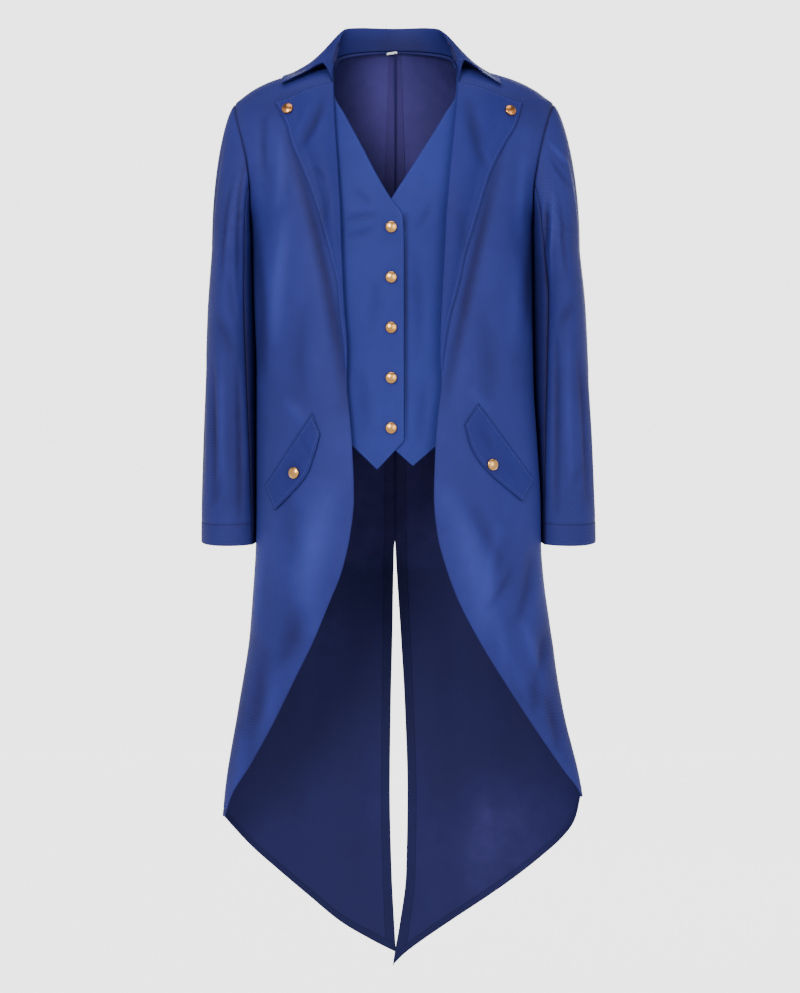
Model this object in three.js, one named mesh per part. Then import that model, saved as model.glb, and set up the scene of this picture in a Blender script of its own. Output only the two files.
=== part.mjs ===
import * as THREE from "three";
import { mergeVertices } from "three/addons/utils/BufferGeometryUtils.js";

// A tailcoat filled out as if worn, in millimetres. +Z is up, the front faces -Y and
// +X is the wearer's left. The origin is the middle of the neck opening, level with
// the two points where the shoulder seams meet the collar.

const bodyCloth = 1.5;
const collarCloth = 2;
const labelCloth = 1;
const seamGap = 0.3;
const layerGap = 0.6;
const flapGap = 1;

const chestZ = -225;
const shoulderEndZ = -53;
const cornerZ = { right: -1036, left: -1009 };
const neckBackY = 62;
const neckBackZ = 28;
const neckHalf = 85;
const shoulderHalf = 220;
const notchZ = -29;

// Shares of each panel's length, top to bottom, that lie above the chest
const frontTopShare = 9 / 28;
const backTopShare = 9 / 28;
const neckShare = 0.4;
const neckPointShare = 2 / 3;

// The shoulder seam and the front and armhole rows crowd towards the neck by this power
const shoulderBend = 1.5;

const sleeveOut = 0.6;
const sleeveTopY = 10;
const sleeveCorner = 0.9;
const sleeveCapShare = 9 / 27;
const underSleeveStart = 140;
const seamTurn = 125;
const sleeveSeamTrim = 0.25;
const cuffZ = -657;
const cuffSlant = 6;

// Reaches of the sleeve cap's curve from the armhole, and back up from the first ring
const capReach = { out: 1, crown: 15.5, crownPower: 0.4, turn: 6, fall: 8, shoulder: 36 };
const ringReach = { up: 8, crown: 107 };

// Reaches of the coat back's upper curve: across, backwards and up
const backReach = {
  top: [0, 58, 0],
  topNeck: [0, 30, -40],
  topArm: [11, 62, -5],
  chest: [0, 0, 90],
  chestArm: [2, 92, 10],
  armFrom: 0.6,
};
const neckRisePower = 0.7;
const tailEndZ = -1150;
const tailTurnFade = 3;

const lapelTopZ = -31;
const lapelEndZ = -425;
const lapelTipZ = -58;
const rollRadius = 2.1;
const rollShare = 0.25;
const rollLean = { from: -40, to: 90 };
const lapelLeastWidth = 3;
const lapelSwell = { most: 3.5, perWidth: 12, nearer: 1.4 };

const waistcoatDrop = 4;
const waistcoatSide = 4;
const waistcoatLap = 1.6;
const waistcoatLowZ = -540;
const waistcoatSpread = 1.28;
const waistcoatTopShare = 0.5;
const waistcoatDropPower = 1.3;

const flapRise = 0.6;

const collarStandShare = 0.35;
const collarSeamPower = 1.2;
const collarNotchFrom = 0.6;
const collarReach = {
  up: { back: 16, notch: 8 },
  beforeRoll: { back: 4.5, notch: 3 },
  afterRoll: { back: 8, notch: 9 },
  edgeDrop: { back: 4, notch: 2 },
  edgeShare: 0.45,
};

const buttonRadius = 7.8;
const buttonHeight = 5;
const frontButtons = 5;
const firstButtonZ = -232;
const buttonStep = 67.6;
const frontButtonX = -5;
// Half outline of a button: shares of its radius and of its height
const buttonOutline = [
  [0, 0],
  [0.9, 0],
  [1, 0.16],
  [0.95, 0.4],
  [0.78, 0.36],
  [0.45, 0.85],
  [0, 1],
];
const buttonSides = 12;

// Sections of the body from the neck down: half widths on the wearer's two sides,
// depths before and behind, and the corner exponent
const bodyRows = [
  { z: 0, right: 85, left: 85, front: 10, back: 60, corner: 1 },
  { z: -5, right: 112, left: 112, front: 25, back: 66, corner: 1 },
  { z: -10, right: 132, left: 132, front: 36, back: 72, corner: 1 },
  { z: -20, right: 167, left: 165, front: 49, back: 80, corner: 1 },
  { z: -28, right: 186, left: 183, front: 57, back: 86, corner: 0.98 },
  { z: -36, right: 200, left: 197, front: 63, back: 90, corner: 0.96 },
  { z: -45, right: 212, left: 209, front: 69, back: 94, corner: 0.94 },
  { z: -53, right: 221, left: 219, front: 74, back: 98, corner: 0.93 },
  { z: -73, right: 227, left: 223, front: 84, back: 104, corner: 0.9 },
  { z: -106, right: 230, left: 222, front: 99, back: 110, corner: 0.87 },
  { z: -140, right: 227, left: 216, front: 111, back: 114, corner: 0.84 },
  { z: -182, right: 213, left: 203, front: 120, back: 117, corner: 0.82 },
  { z: -225, right: 199, left: 191, front: 124, back: 118, corner: 0.8 },
  { z: -324, right: 195, left: 190, front: 124, back: 108, corner: 0.8 },
  { z: -430, right: 191, left: 191, front: 121, back: 104, corner: 0.8 },
  { z: -531, right: 191, left: 197, front: 121, back: 110, corner: 0.8 },
  { z: -600, right: 191, left: 201, front: 122, back: 116, corner: 0.8 },
  { z: -669, right: 192, left: 202, front: 120, back: 117, corner: 0.8 },
  { z: -779, right: 200, left: 215, front: 104, back: 114, corner: 0.82 },
  { z: -889, right: 217, left: 232, front: 78, back: 111, corner: 0.86 },
  { z: -1000, right: 235, left: 258, front: 52, back: 109, corner: 0.9 },
  { z: -1038, right: 238, left: 262, front: 44, back: 108, corner: 0.9 },
  { z: -1150, right: 240, left: 264, front: 40, back: 104, corner: 0.9 },
  { z: -1262, right: 240, left: 264, front: 40, back: 97, corner: 0.9 },
];

// How far back the side seam lies
const sideSeamRows = [
  { z: -53, y: 10 },
  { z: -225, y: 8 },
  { z: -430, y: 5 },
  { z: -1262, y: 5 },
];

// Inner edge of each coat front, measured from the middle: neck seam, roll line, then
// the cut-away edge down to the side corner
const frontEdgeRows = [
  { z: 0, right: 85, left: 85 },
  { z: -30, right: 85.5, left: 87 },
  { z: -90, right: 83, left: 82.5 },
  { z: -155, right: 78.5, left: 76 },
  { z: -215, right: 75, left: 71 },
  { z: -265, right: 73.5, left: 68.5 },
  { z: -340, right: 70, left: 64.5 },
  { z: -410, right: 65, left: 62 },
  { z: -440, right: 65, left: 63 },
  { z: -490, right: 60.5, left: 57.5 },
  { z: -530, right: 57.5, left: 54.5 },
  { z: -597, right: 55, left: 52.5 },
  { z: -645, right: 60, left: 57 },
  { z: -697, right: 72, left: 71 },
  { z: -737, right: 88, left: 86.5 },
  { z: -788, right: 109, left: 113 },
  { z: -847, right: 138, left: 149 },
  { z: -910, right: 169, left: 190 },
  { z: -967, right: 201, left: 229 },
  { z: -1009, right: 226, left: 257.5 },
  { z: -1036, right: 234.5, left: 262 },
];

// Front half of each armhole, seen from the front
const armholeRows = [
  { z: -53, right: 221, left: 219 },
  { z: -73, right: 218.5, left: 212 },
  { z: -106, right: 210, left: 202.5 },
  { z: -140, right: 202, left: 195 },
  { z: -182, right: 198, left: 189.5 },
  { z: -225, right: 199, left: 191 },
];

// Outer edge of each turned-back lapel
const lapelEdgeRows = [
  { z: -58, right: 163, left: 174 },
  { z: -90, right: 148, left: 164 },
  { z: -120, right: 139, left: 147 },
  { z: -155, right: 124, left: 130 },
  { z: -195, right: 109, left: 117 },
  { z: -235, right: 97.5, left: 105 },
  { z: -275, right: 86, left: 94 },
  { z: -315, right: 77, left: 85 },
  { z: -350, right: 74, left: 75 },
  { z: -390, right: 70, left: 68 },
  { z: -425, right: 67.5, left: 64.5 },
];

// Middle edge of each waistcoat front, positive towards that wearer's side
const waistcoatEdgeRows = [
  { z: -4, right: 84.5, left: 85 },
  { z: -45, right: 83, left: 83 },
  { z: -76, right: 68, left: 59.5 },
  { z: -120, right: 45, left: 37 },
  { z: -165, right: 22, left: 13 },
  { z: -195, right: 4, left: -6 },
  { z: -217, right: -11, left: -18 },
  { z: -260, right: -12.5, left: -20 },
  { z: -560, right: -12.5, left: -20 },
];

// Side edge of the waistcoat, hidden under the coat: a plain strap and armhole
const waistcoatArmRows = [
  { z: -19, right: 150, left: 148 },
  { z: -70, right: 158, left: 154 },
  { z: -140, right: 172, left: 165 },
  { z: -190, right: 186, left: 178 },
  { z: -240, right: 194, left: 186 },
];

// Pointed hem of the waistcoat by distance from the middle
const waistcoatHemRows = [
  { x: -20, right: -512, left: -514 },
  { x: 24, right: -559, left: -554 },
  { x: 56, right: -528, left: -527 },
  { x: 110, right: -520, left: -520 },
  { x: 195, right: -520, left: -520 },
];

// How far the waistcoat hangs behind the coat front along the middle
const waistcoatInsetRows = [
  { z: -4, inset: 2 },
  { z: -45, inset: 6 },
  { z: -140, inset: 11 },
  { z: -260, inset: 14 },
  { z: -560, inset: 16 },
];

// Centre-back edges of the tails below the vent
const ventRows = [
  { z: -650, right: 0.15, left: 0.15, forward: 0 },
  { z: -664, right: 1.4, left: 0.4, forward: 0 },
  { z: -800, right: 4, left: 8.6, forward: 0 },
  { z: -885, right: 6, left: 13.5, forward: 0 },
  { z: -1010, right: 7.4, left: 17.4, forward: 0 },
  { z: -1125, right: 4.8, left: 15.5, forward: -2 },
  { z: -1200, right: 1, left: 6, forward: -5 },
  { z: -1236, right: -1, left: -0.5, forward: -6 },
  { z: -1262, right: -2, left: -4.4, forward: -6 },
];

// Slanting hem of each tail by distance from the middle
const tailHemRows = [
  { x: -4.4, right: -1239, left: -1261 },
  { x: 10, right: -1232, left: -1242 },
  { x: 35, right: -1219, left: -1221 },
  { x: 75, right: -1195, left: -1192 },
  { x: 120, right: -1157, left: -1161 },
  { x: 162, right: -1120, left: -1131 },
  { x: 200, right: -1085, left: -1101 },
  { x: 232, right: -1048, left: -1072 },
  { x: 250, right: -1022, left: -1048 },
  { x: 262, right: -1010, left: -1009 },
];

// Collar from the notch on the wearer's right round to the left: roll line and outer edge
const collarRows = [
  { part: -1, roll: [-99, -36, 0], edge: [-156, -43, -29] },
  { part: -0.85, roll: [-84, -12, 5], edge: [-156, -16, -17] },
  { part: -0.7, roll: [-80, 9, 26], edge: [-152, 8, -11] },
  { part: -0.55, roll: [-74, 26, 49], edge: [-134, 27, -10] },
  { part: -0.4, roll: [-66, 41, 57], edge: [-98, 51, -8] },
  { part: -0.2, roll: [-38, 57, 60], edge: [-55, 73, 1] },
  { part: 0, roll: [0, 64, 60], edge: [0, 80, 6] },
  { part: 0.2, roll: [38, 57, 60], edge: [55, 73, 1] },
  { part: 0.4, roll: [66, 41, 57], edge: [98, 51, -8] },
  { part: 0.55, roll: [74, 26, 49], edge: [133, 27, -10] },
  { part: 0.7, roll: [80, 9, 26], edge: [149, 8, -11] },
  { part: 0.85, roll: [84, -12, 7], edge: [149, -16, -17] },
  { part: 1, roll: [95, -36, 4], edge: [146, -43, -29] },
];

// Sleeve sections: outermost reach and seam ridge on each side, half depth, how far back
// the middle lies and how far the inner side stays off the body's widest line
const sleeveRows = [
  { z: -255, right: 252.5, left: 254, ridgeRight: 205, ridgeLeft: 203, deep: 80, y: 11, clear: 1.6 },
  { z: -330, right: 258, left: 261, ridgeRight: 206, ridgeLeft: 209.5, deep: 75, y: 18, clear: 0.6 },
  { z: -430, right: 261.5, left: 266, ridgeRight: 203.5, ridgeLeft: 208, deep: 68, y: 27, clear: 0 },
  { z: -530, right: 264.5, left: 271, ridgeRight: 199.5, ridgeLeft: 206, deep: 61, y: 29, clear: 0 },
  { z: -620, right: 266, left: 274, ridgeRight: 196.5, ridgeLeft: 205.2, deep: 55, y: 28, clear: 0.2 },
  { z: -664, right: 266, left: 274.6, ridgeRight: 195.5, ridgeLeft: 205.2, deep: 52, y: 26, clear: 0.4 },
];

// Pocket flaps seen from the front: two ends of the sewn edge, then the free edge
const flapCorners = {
  right: {
    sewn: [[-176, -580], [-111, -482]],
    free: [[-162, -614], [-122, -572], [-108.5, -541], [-100, -511]],
  },
  left: {
    sewn: [[189, -572], [112.5, -469]],
    free: [[172, -602], [126, -563], [104, -533], [93.5, -498]],
  },
};

// Middles of the lapel and flap buttons, with how far the cloth swells under each
const buttonPlaces = {
  lapel: {
    right: { x: -145, z: -69, lift: -0.5 },
    left: { x: 156, z: -71, lift: -0.4 },
  },
  flap: {
    right: { x: -134, z: -563, lift: 0.6 },
    left: { x: 130, z: -552, lift: 0.6 },
  },
};

const labelSize = { wide: 15, high: 3.6 };
const labelPlace = { x: -4.4, y: 59.4, z: 24.6, lean: 8 };

// Broad soft hollows in the coat fronts: middle, half height, half width and depth
const hollowRows = [
  { x: -178, z: -190, high: 75, wide: 13, deep: 4 },
  { x: -82, z: -415, high: 80, wide: 10, deep: 2.5 },
  { x: 172, z: -200, high: 80, wide: 13, deep: 4 },
  { x: 80, z: -430, high: 80, wide: 10, deep: 2.5 },
  { x: -150, z: -800, high: 150, wide: 26, deep: 4 },
  { x: 160, z: -790, high: 150, wide: 26, deep: 4 },
];
const hollowFadeAngle = 0.5;

const blue = new THREE.Color(0x2c4a8c);
const shadedBlue = new THREE.Color(0x26407f);
const gold = new THREE.Color(0xc9984a);
const white = new THREE.Color(0xe6e6e8);

const sideNames = new Map([[-1, "right"], [1, "left"]]);
const sides = [...sideNames.keys()];

function signedPower(value, power) {
  return Math.sign(value) * Math.abs(value) ** power;
}

function mix(a, b, share) {
  return a + (b - a) * share;
}

// Smooth value of a named column between the rows of a table, straight beyond its ends
function lookUp(rows, name, at, key = "z") {
  const direction = Math.sign(rows[rows.length - 1][key] - rows[0][key]);
  let i = 0;
  while (i < rows.length - 2 && (at - rows[i + 1][key]) * direction > 0) {
    i += 1;
  }
  const slope = (j) => (rows[j + 1][name] - rows[j][name]) / (rows[j + 1][key] - rows[j][key]);
  const tangent = (j) => {
    if (j === 0 || j === rows.length - 1) {
      return slope(Math.max(j - 1, 0));
    }
    const before = slope(j - 1);
    const after = slope(j);
    return before * after <= 0 ? 0 : (2 * before * after) / (before + after);
  };
  const step = rows[i + 1][key] - rows[i][key];
  const t = (at - rows[i][key]) / step;
  const first = tangent(i);
  const last = tangent(i + 1);
  if (t < 0) {
    return rows[i][name] + first * step * t;
  }
  if (t > 1) {
    return rows[i + 1][name] + last * step * (t - 1);
  }
  const t2 = t * t;
  const t3 = t2 * t;
  return (2 * t3 - 3 * t2 + 1) * rows[i][name] + (t3 - 2 * t2 + t) * step * first
    + (3 * t2 - 2 * t3) * rows[i + 1][name] + (t3 - t2) * step * last;
}

// Section of the body at one height; above the armholes it ends on the shoulder seam,
// which is straight when seen from above
function section(z, side) {
  const half = lookUp(bodyRows, sideNames.get(side), z);
  const alongShoulder = (half - neckHalf) / (shoulderHalf - neckHalf);
  return {
    half,
    front: lookUp(bodyRows, "front", z),
    back: lookUp(bodyRows, "back", z),
    seamY: z > shoulderEndZ ? sleeveTopY * alongShoulder : lookUp(sideSeamRows, "y", z),
    corner: lookUp(bodyRows, "corner", z),
  };
}

// Angle round a section from the side seam, 90 degrees being the middle
function angleAt(out, cut) {
  const share = THREE.MathUtils.clamp(out / cut.half, -1, 1);
  return Math.acos(signedPower(share, 1 / cut.corner));
}

function aroundFront(side, angle, z, cut) {
  const forward = signedPower(Math.sin(angle), cut.corner);
  return new THREE.Vector3(
    side * cut.half * signedPower(Math.cos(angle), cut.corner),
    cut.seamY * (1 - forward) - cut.front * forward,
    z,
  );
}

function aroundBack(side, angle, z, cut) {
  const backward = signedPower(Math.sin(angle), cut.corner);
  return new THREE.Vector3(
    side * cut.half * signedPower(Math.cos(angle), cut.corner),
    cut.seamY * (1 - backward) + cut.back * backward,
    z,
  );
}

// The point pressed in by the soft hollows, which fade out towards the side seam
function hollowed(point, angle) {
  const fade = THREE.MathUtils.smoothstep(angle, 0, hollowFadeAngle);
  for (const row of hollowRows) {
    const across = ((point.x - row.x) / row.wide) ** 2;
    const along = ((point.z - row.z) / row.high) ** 2;
    point.y += fade * row.deep * Math.exp(-across - along);
  }
  return point;
}

function surfaceNormal(surface, u, v) {
  const step = 1e-3;
  const alongU = surface(u + step, v).sub(surface(u - step, v));
  const alongV = surface(u, v + step).sub(surface(u, v - step));
  return alongU.cross(alongV).normalize();
}

// Wearer's coat front: u runs from the middle edge to the side, v from shoulder to hem
function coatFront(side) {
  const name = sideNames.get(side);
  return (u, v) => {
    const t = v / frontTopShare;
    const drop = signedPower(t, shoulderBend);
    const below = Math.max(0, (v - frontTopShare) / (1 - frontTopShare));
    const innerZ = t < 1 ? mix(0, chestZ, drop) : mix(chestZ, cornerZ[name], below);
    const outerZ = t < 1 ? mix(shoulderEndZ, chestZ, drop) : innerZ;
    const crest = shoulderEndZ * signedPower(u, shoulderBend);
    const z = t < 1 ? mix(crest, chestZ, drop) : innerZ;
    const inner = angleAt(lookUp(frontEdgeRows, name, innerZ), section(innerZ, side));
    const outer = t < 1 ? angleAt(lookUp(armholeRows, name, outerZ), section(outerZ, side)) : 0;
    const point = aroundFront(side, mix(inner, outer, u), z, section(z, side));
    return hollowed(point, mix(inner, outer, u));
  };
}

// Point of the body's front at a given place across and height
function onFront(x, z) {
  const side = x < 0 ? -1 : 1;
  const cut = section(z, side);
  const point = aroundFront(side, angleAt(Math.abs(x), cut), z, cut);
  return hollowed(point, angleAt(Math.abs(x), cut));
}

function frontNormal(x, z) {
  const step = 0.5;
  const across = onFront(x + step, z).sub(onFront(x - step, z));
  const down = onFront(x, z - step).sub(onFront(x, z + step));
  return down.cross(across).normalize();
}

function bezier(a, b, c, d, t) {
  const s = 1 - t;
  return a.clone().multiplyScalar(s * s * s)
    .addScaledVector(b, 3 * s * s * t)
    .addScaledVector(c, 3 * s * t * t)
    .addScaledVector(d, t * t * t);
}

// Top edge of the coat back: half the neck seam, then the shoulder seam
function backTop(side, u) {
  if (u < neckShare) {
    const turn = (Math.PI / 2) * (u / neckShare);
    const rise = Math.max(Math.cos(turn), 0) ** neckRisePower;
    return new THREE.Vector3(
      side * neckHalf * Math.sin(turn),
      neckBackY * Math.cos(turn),
      neckBackZ * rise,
    );
  }
  const z = shoulderEndZ * signedPower((u - neckShare) / (1 - neckShare), shoulderBend);
  return aroundFront(side, 0, z, section(z, side));
}

// Wearer's coat back: u runs from the centre seam to the side, v from the top to the hem
function coatBack(side) {
  const name = sideNames.get(side);
  const lowest = section(tailEndZ, side);
  const reach = (name) => {
    const [inwards, backwards, up] = backReach[name];
    return new THREE.Vector3(-side * inwards, backwards, up);
  };
  return (u, v) => {
    const t = v / backTopShare;
    const chest = section(chestZ, side);
    if (t < 1) {
      const first = angleAt(seamGap / 2, chest);
      const bottom = aroundBack(side, mix(first, 0, u), chestZ, chest);
      const top = backTop(side, u);
      const nearArm = THREE.MathUtils.smoothstep(u, backReach.armFrom, 1);
      const nearNeck = THREE.MathUtils.clamp(1 - u / neckShare, 0, 1);
      const fromTop = reach("top").lerp(reach("topNeck"), nearNeck).lerp(reach("topArm"), nearArm);
      const fromBottom = reach("chest").lerp(reach("chestArm"), nearArm);
      return bezier(top, fromTop.add(top), fromBottom.add(bottom), bottom, t);
    }
    const below = (v - backTopShare) / (1 - backTopShare);
    const fromMiddle = lowest.half * signedPower(Math.sin(u * Math.PI / 2), lowest.corner);
    const z = mix(chestZ, lookUp(tailHemRows, name, fromMiddle, "x"), below);
    const cut = section(z, side);
    const edge = z > ventRows[0].z ? seamGap / 2 : lookUp(ventRows, name, z);
    const forward = z > ventRows[0].z ? 0 : lookUp(ventRows, "forward", z);
    const point = aroundBack(side, mix(angleAt(edge, cut), 0, u), z, cut);
    point.y += side > 0 ? forward * Math.exp(-u * tailTurnFade) : 0;
    return point;
  };
}

// Sleeve: turn is the angle from the outside round the front, v runs down to the cuff
function sleeveSurface(side) {
  const name = sideNames.get(side);
  const front = coatFront(side);
  const back = coatBack(side);
  const ridgeName = side < 0 ? "ridgeRight" : "ridgeLeft";
  const seam = THREE.MathUtils.degToRad(seamTurn);
  const seamAcross = signedPower(Math.cos(seam), sleeveCorner);
  const seamForward = signedPower(Math.sin(seam), sleeveCorner);
  const start = THREE.MathUtils.degToRad(underSleeveStart);
  const ringAt = (turn, z) => {
    const deep = lookUp(sleeveRows, "deep", z);
    const middleY = lookUp(sleeveRows, "y", z);
    const outer = lookUp(sleeveRows, name, z);
    const ridge = lookUp(sleeveRows, ridgeName, z);
    if (Math.abs(turn) < start) {
      const wide = (outer - ridge) / (1 - seamAcross);
      const around = (turn / start) * seam;
      const across = outer - wide + wide * signedPower(Math.cos(around), sleeveCorner);
      const forward = deep * signedPower(Math.sin(around), sleeveCorner);
      return new THREE.Vector3(side * across, middleY - forward, z);
    }
    const inner = section(z, side).half + lookUp(sleeveRows, "clear", z);
    const part = (Math.PI / 2) * ((Math.abs(turn) - start) / (Math.PI - start));
    const forward = Math.sign(turn) * deep * seamForward * Math.cos(part);
    return new THREE.Vector3(side * mix(ridge, inner, Math.sin(part)), middleY - forward, z);
  };
  const armhole = (turn) => {
    const part = Math.abs(turn) / Math.PI;
    const share = turn >= 0 ? part * frontTopShare : part * backTopShare;
    return turn >= 0 ? front(1, share) : back(1, share);
  };
  return (degrees, v) => {
    const full = THREE.MathUtils.degToRad(degrees);
    const turn = full > Math.PI ? full - 2 * Math.PI : full;
    const outside = (1 + Math.cos(turn)) / 2;
    if (v < sleeveCapShare) {
      const top = armhole(turn);
      top.x += side * sleeveOut;
      const bottom = ringAt(turn, sleeveRows[0].z);
      const crown = capReach.crown * outside ** capReach.crownPower;
      const shoulder = capReach.shoulder * outside * (1 - outside);
      const fromTop = new THREE.Vector3(
        side * (capReach.out + crown),
        -capReach.turn * Math.sin(turn),
        -capReach.fall - shoulder,
      ).add(top);
      const up = ringReach.up + ringReach.crown * outside ** 2;
      const fromBottom = new THREE.Vector3(0, 0, up).add(bottom);
      return bezier(top, fromTop, fromBottom, bottom, v / sleeveCapShare);
    }
    const below = (v - sleeveCapShare) / (1 - sleeveCapShare);
    const cuff = cuffZ - cuffSlant * Math.sin(turn);
    return ringAt(turn, mix(sleeveRows[0].z, cuff, below));
  };
}

// Turned-back lapel: u runs from the roll out to the free edge, v from the notch down
function lapel(side) {
  const name = sideNames.get(side);
  return (u, v) => {
    const rollZ = mix(lapelTopZ, lapelEndZ, v);
    const edgeZ = mix(lapelTipZ, lapelEndZ, v);
    const rollX = side * lookUp(frontEdgeRows, name, rollZ);
    const normal = frontNormal(rollX, rollZ);
    const outward = new THREE.Vector3(-side, 0, 0);
    outward.addScaledVector(normal, -outward.dot(normal)).normalize();
    if (u < rollShare) {
      const lean = THREE.MathUtils.degToRad(mix(rollLean.from, rollLean.to, u / rollShare));
      return onFront(rollX, rollZ)
        .addScaledVector(outward, rollRadius * Math.cos(lean))
        .addScaledVector(normal, rollRadius * Math.sin(lean));
    }
    const share = (u - rollShare) / (1 - rollShare);
    const width = lookUp(lapelEdgeRows, name, edgeZ) - Math.abs(rollX);
    const x = rollX + side * Math.max(width, lapelLeastWidth) * share;
    const z = mix(rollZ, edgeZ, share);
    const high = Math.min(lapelSwell.most, width / lapelSwell.perWidth);
    const swell = high * Math.sin(Math.PI * Math.min(1, share * lapelSwell.nearer));
    const lift = rollRadius + layerGap * Math.min(1, share * 3) + Math.max(0, swell);
    return onFront(x, z).addScaledVector(frontNormal(x, z), lift);
  };
}

// Section that the waistcoat follows, a little inside the coat's own
function waistcoatSection(z, side) {
  const lap = side < 0 ? waistcoatLap : -waistcoatLap;
  const cut = section(z + waistcoatDrop, side);
  cut.half -= waistcoatSide;
  cut.front += lap - lookUp(waistcoatInsetRows, "inset", z);
  return cut;
}

// False waistcoat front: u runs from the middle to the side, v from shoulder to hem
function waistcoat(side) {
  const name = sideNames.get(side);
  const body = (z) => waistcoatSection(z, side);
  const strapStart = waistcoatEdgeRows[0].z;
  const strapEnd = waistcoatArmRows[0].z;
  const armEnd = waistcoatArmRows[waistcoatArmRows.length - 1].z;
  const lowInner = angleAt(lookUp(waistcoatEdgeRows, name, waistcoatLowZ), body(waistcoatLowZ));
  return (u, v) => {
    const t = v / waistcoatTopShare;
    const drop = signedPower(Math.min(t, 1), waistcoatDropPower);
    const below = Math.max(0, (v - waistcoatTopShare) / (1 - waistcoatTopShare));
    const spread = signedPower(u, waistcoatSpread);
    const low = body(waistcoatLowZ);
    const lowest = aroundFront(side, mix(lowInner, 0, spread), waistcoatLowZ, low).x * side;
    const hem = lookUp(waistcoatHemRows, name, lowest, "x");
    const rowZ = (top) => (t < 1 ? mix(top, armEnd, drop) : mix(armEnd, hem, below));
    const z = rowZ(mix(strapStart, strapEnd, u));
    const innerZ = t < 1 ? rowZ(strapStart) : z;
    const outerZ = t < 1 ? rowZ(strapEnd) : z;
    const inner = angleAt(lookUp(waistcoatEdgeRows, name, innerZ), body(innerZ));
    const armX = lookUp(waistcoatArmRows, name, outerZ);
    const outer = t < 1 ? angleAt(armX, body(outerZ)) : 0;
    return aroundFront(side, mix(inner, outer, spread), z, body(z));
  };
}

// Point of the waistcoat's outer face straight behind a place seen from the front
function waistcoatPoint(side) {
  return (x, z) => {
    const cut = waistcoatSection(z, side);
    return aroundFront(side, angleAt(x * side, cut), z, cut);
  };
}

function pocketFlap(side) {
  const { sewn, free } = flapCorners[sideNames.get(side)];
  const freeEdge = new THREE.CatmullRomCurve3(free.map(([x, z]) => new THREE.Vector3(x, 0, z)));
  const freeLength = freeEdge.getLength();
  const sewnEdge = sewn.map(([x, z]) => new THREE.Vector3(x, 0, z));
  return (u, v) => {
    const inside = THREE.MathUtils.clamp(u, 0, 1);
    const past = (u - inside) * freeLength;
    const low = freeEdge.getPoint(inside).addScaledVector(freeEdge.getTangent(inside), past);
    const flat = sewnEdge[0].clone().lerp(sewnEdge[1], u).lerp(low, v);
    const lift = bodyCloth + flapGap + flapRise * v;
    return onFront(flat.x, flat.z).addScaledVector(frontNormal(flat.x, flat.z), lift);
  };
}

// Point of the collar's roll or edge line at a signed share of its half length
function collarLine(line, share) {
  const rows = collarRows.map(({ part, [line]: [x, y, z] }) => ({ part, x, y, z }));
  const value = (name) => lookUp(rows, name, share, "part");
  return new THREE.Vector3(value("x"), value("y"), value("z"));
}

// Neck seam at a signed share: along the coat back, then down the coat front's edge
function neckSeam(share) {
  const side = share < 0 ? -1 : 1;
  const part = Math.abs(share);
  if (part < neckPointShare) {
    const point = backTop(side, neckShare * (part / neckPointShare));
    point.z += layerGap;
    return point;
  }
  const z = notchZ * ((part - neckPointShare) / (1 - neckPointShare)) ** collarSeamPower;
  const x = side * lookUp(frontEdgeRows, sideNames.get(side), z);
  return onFront(x, z).addScaledVector(frontNormal(x, z - 1), layerGap);
}

// Collar: u runs from the wearer's right notch round the back, v from seam to free edge
function collar() {
  return (u, v) => {
    const share = 2 * u - 1;
    const seam = neckSeam(share);
    const roll = collarLine("roll", share);
    const edge = collarLine("edge", share);
    const nearNotch = THREE.MathUtils.smoothstep(Math.abs(share), collarNotchFrom, 1);
    const reach = (name) => mix(collarReach[name].back, collarReach[name].notch, nearNotch);
    const outward = edge.clone().sub(roll).setZ(0).normalize();
    if (v < collarStandShare) {
      const up = new THREE.Vector3(0, 0, reach("up")).add(seam);
      const beforeRoll = roll.clone().addScaledVector(outward, -reach("beforeRoll"));
      return bezier(seam, up, beforeRoll, roll, v / collarStandShare);
    }
    const afterRoll = roll.clone().addScaledVector(outward, reach("afterRoll"));
    const beforeEdge = edge.clone().lerp(roll, collarReach.edgeShare);
    beforeEdge.z -= reach("edgeDrop");
    const fallen = (v - collarStandShare) / (1 - collarStandShare);
    return bezier(roll, afterRoll, beforeEdge, edge, fallen);
  };
}

// A closed body whose shared points are merged and whose empty triangles are dropped
function closedBody(geometry) {
  geometry.deleteAttribute("normal");
  geometry.deleteAttribute("uv");
  const merged = mergeVertices(geometry, 1e-4);
  const index = merged.index.array;
  const kept = [];
  for (let i = 0; i < index.length; i += 3) {
    const corners = [index[i], index[i + 1], index[i + 2]];
    if (new Set(corners).size === 3) {
      kept.push(...corners);
    }
  }
  merged.setIndex(kept);
  merged.computeVertexNormals();
  return merged;
}

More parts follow.
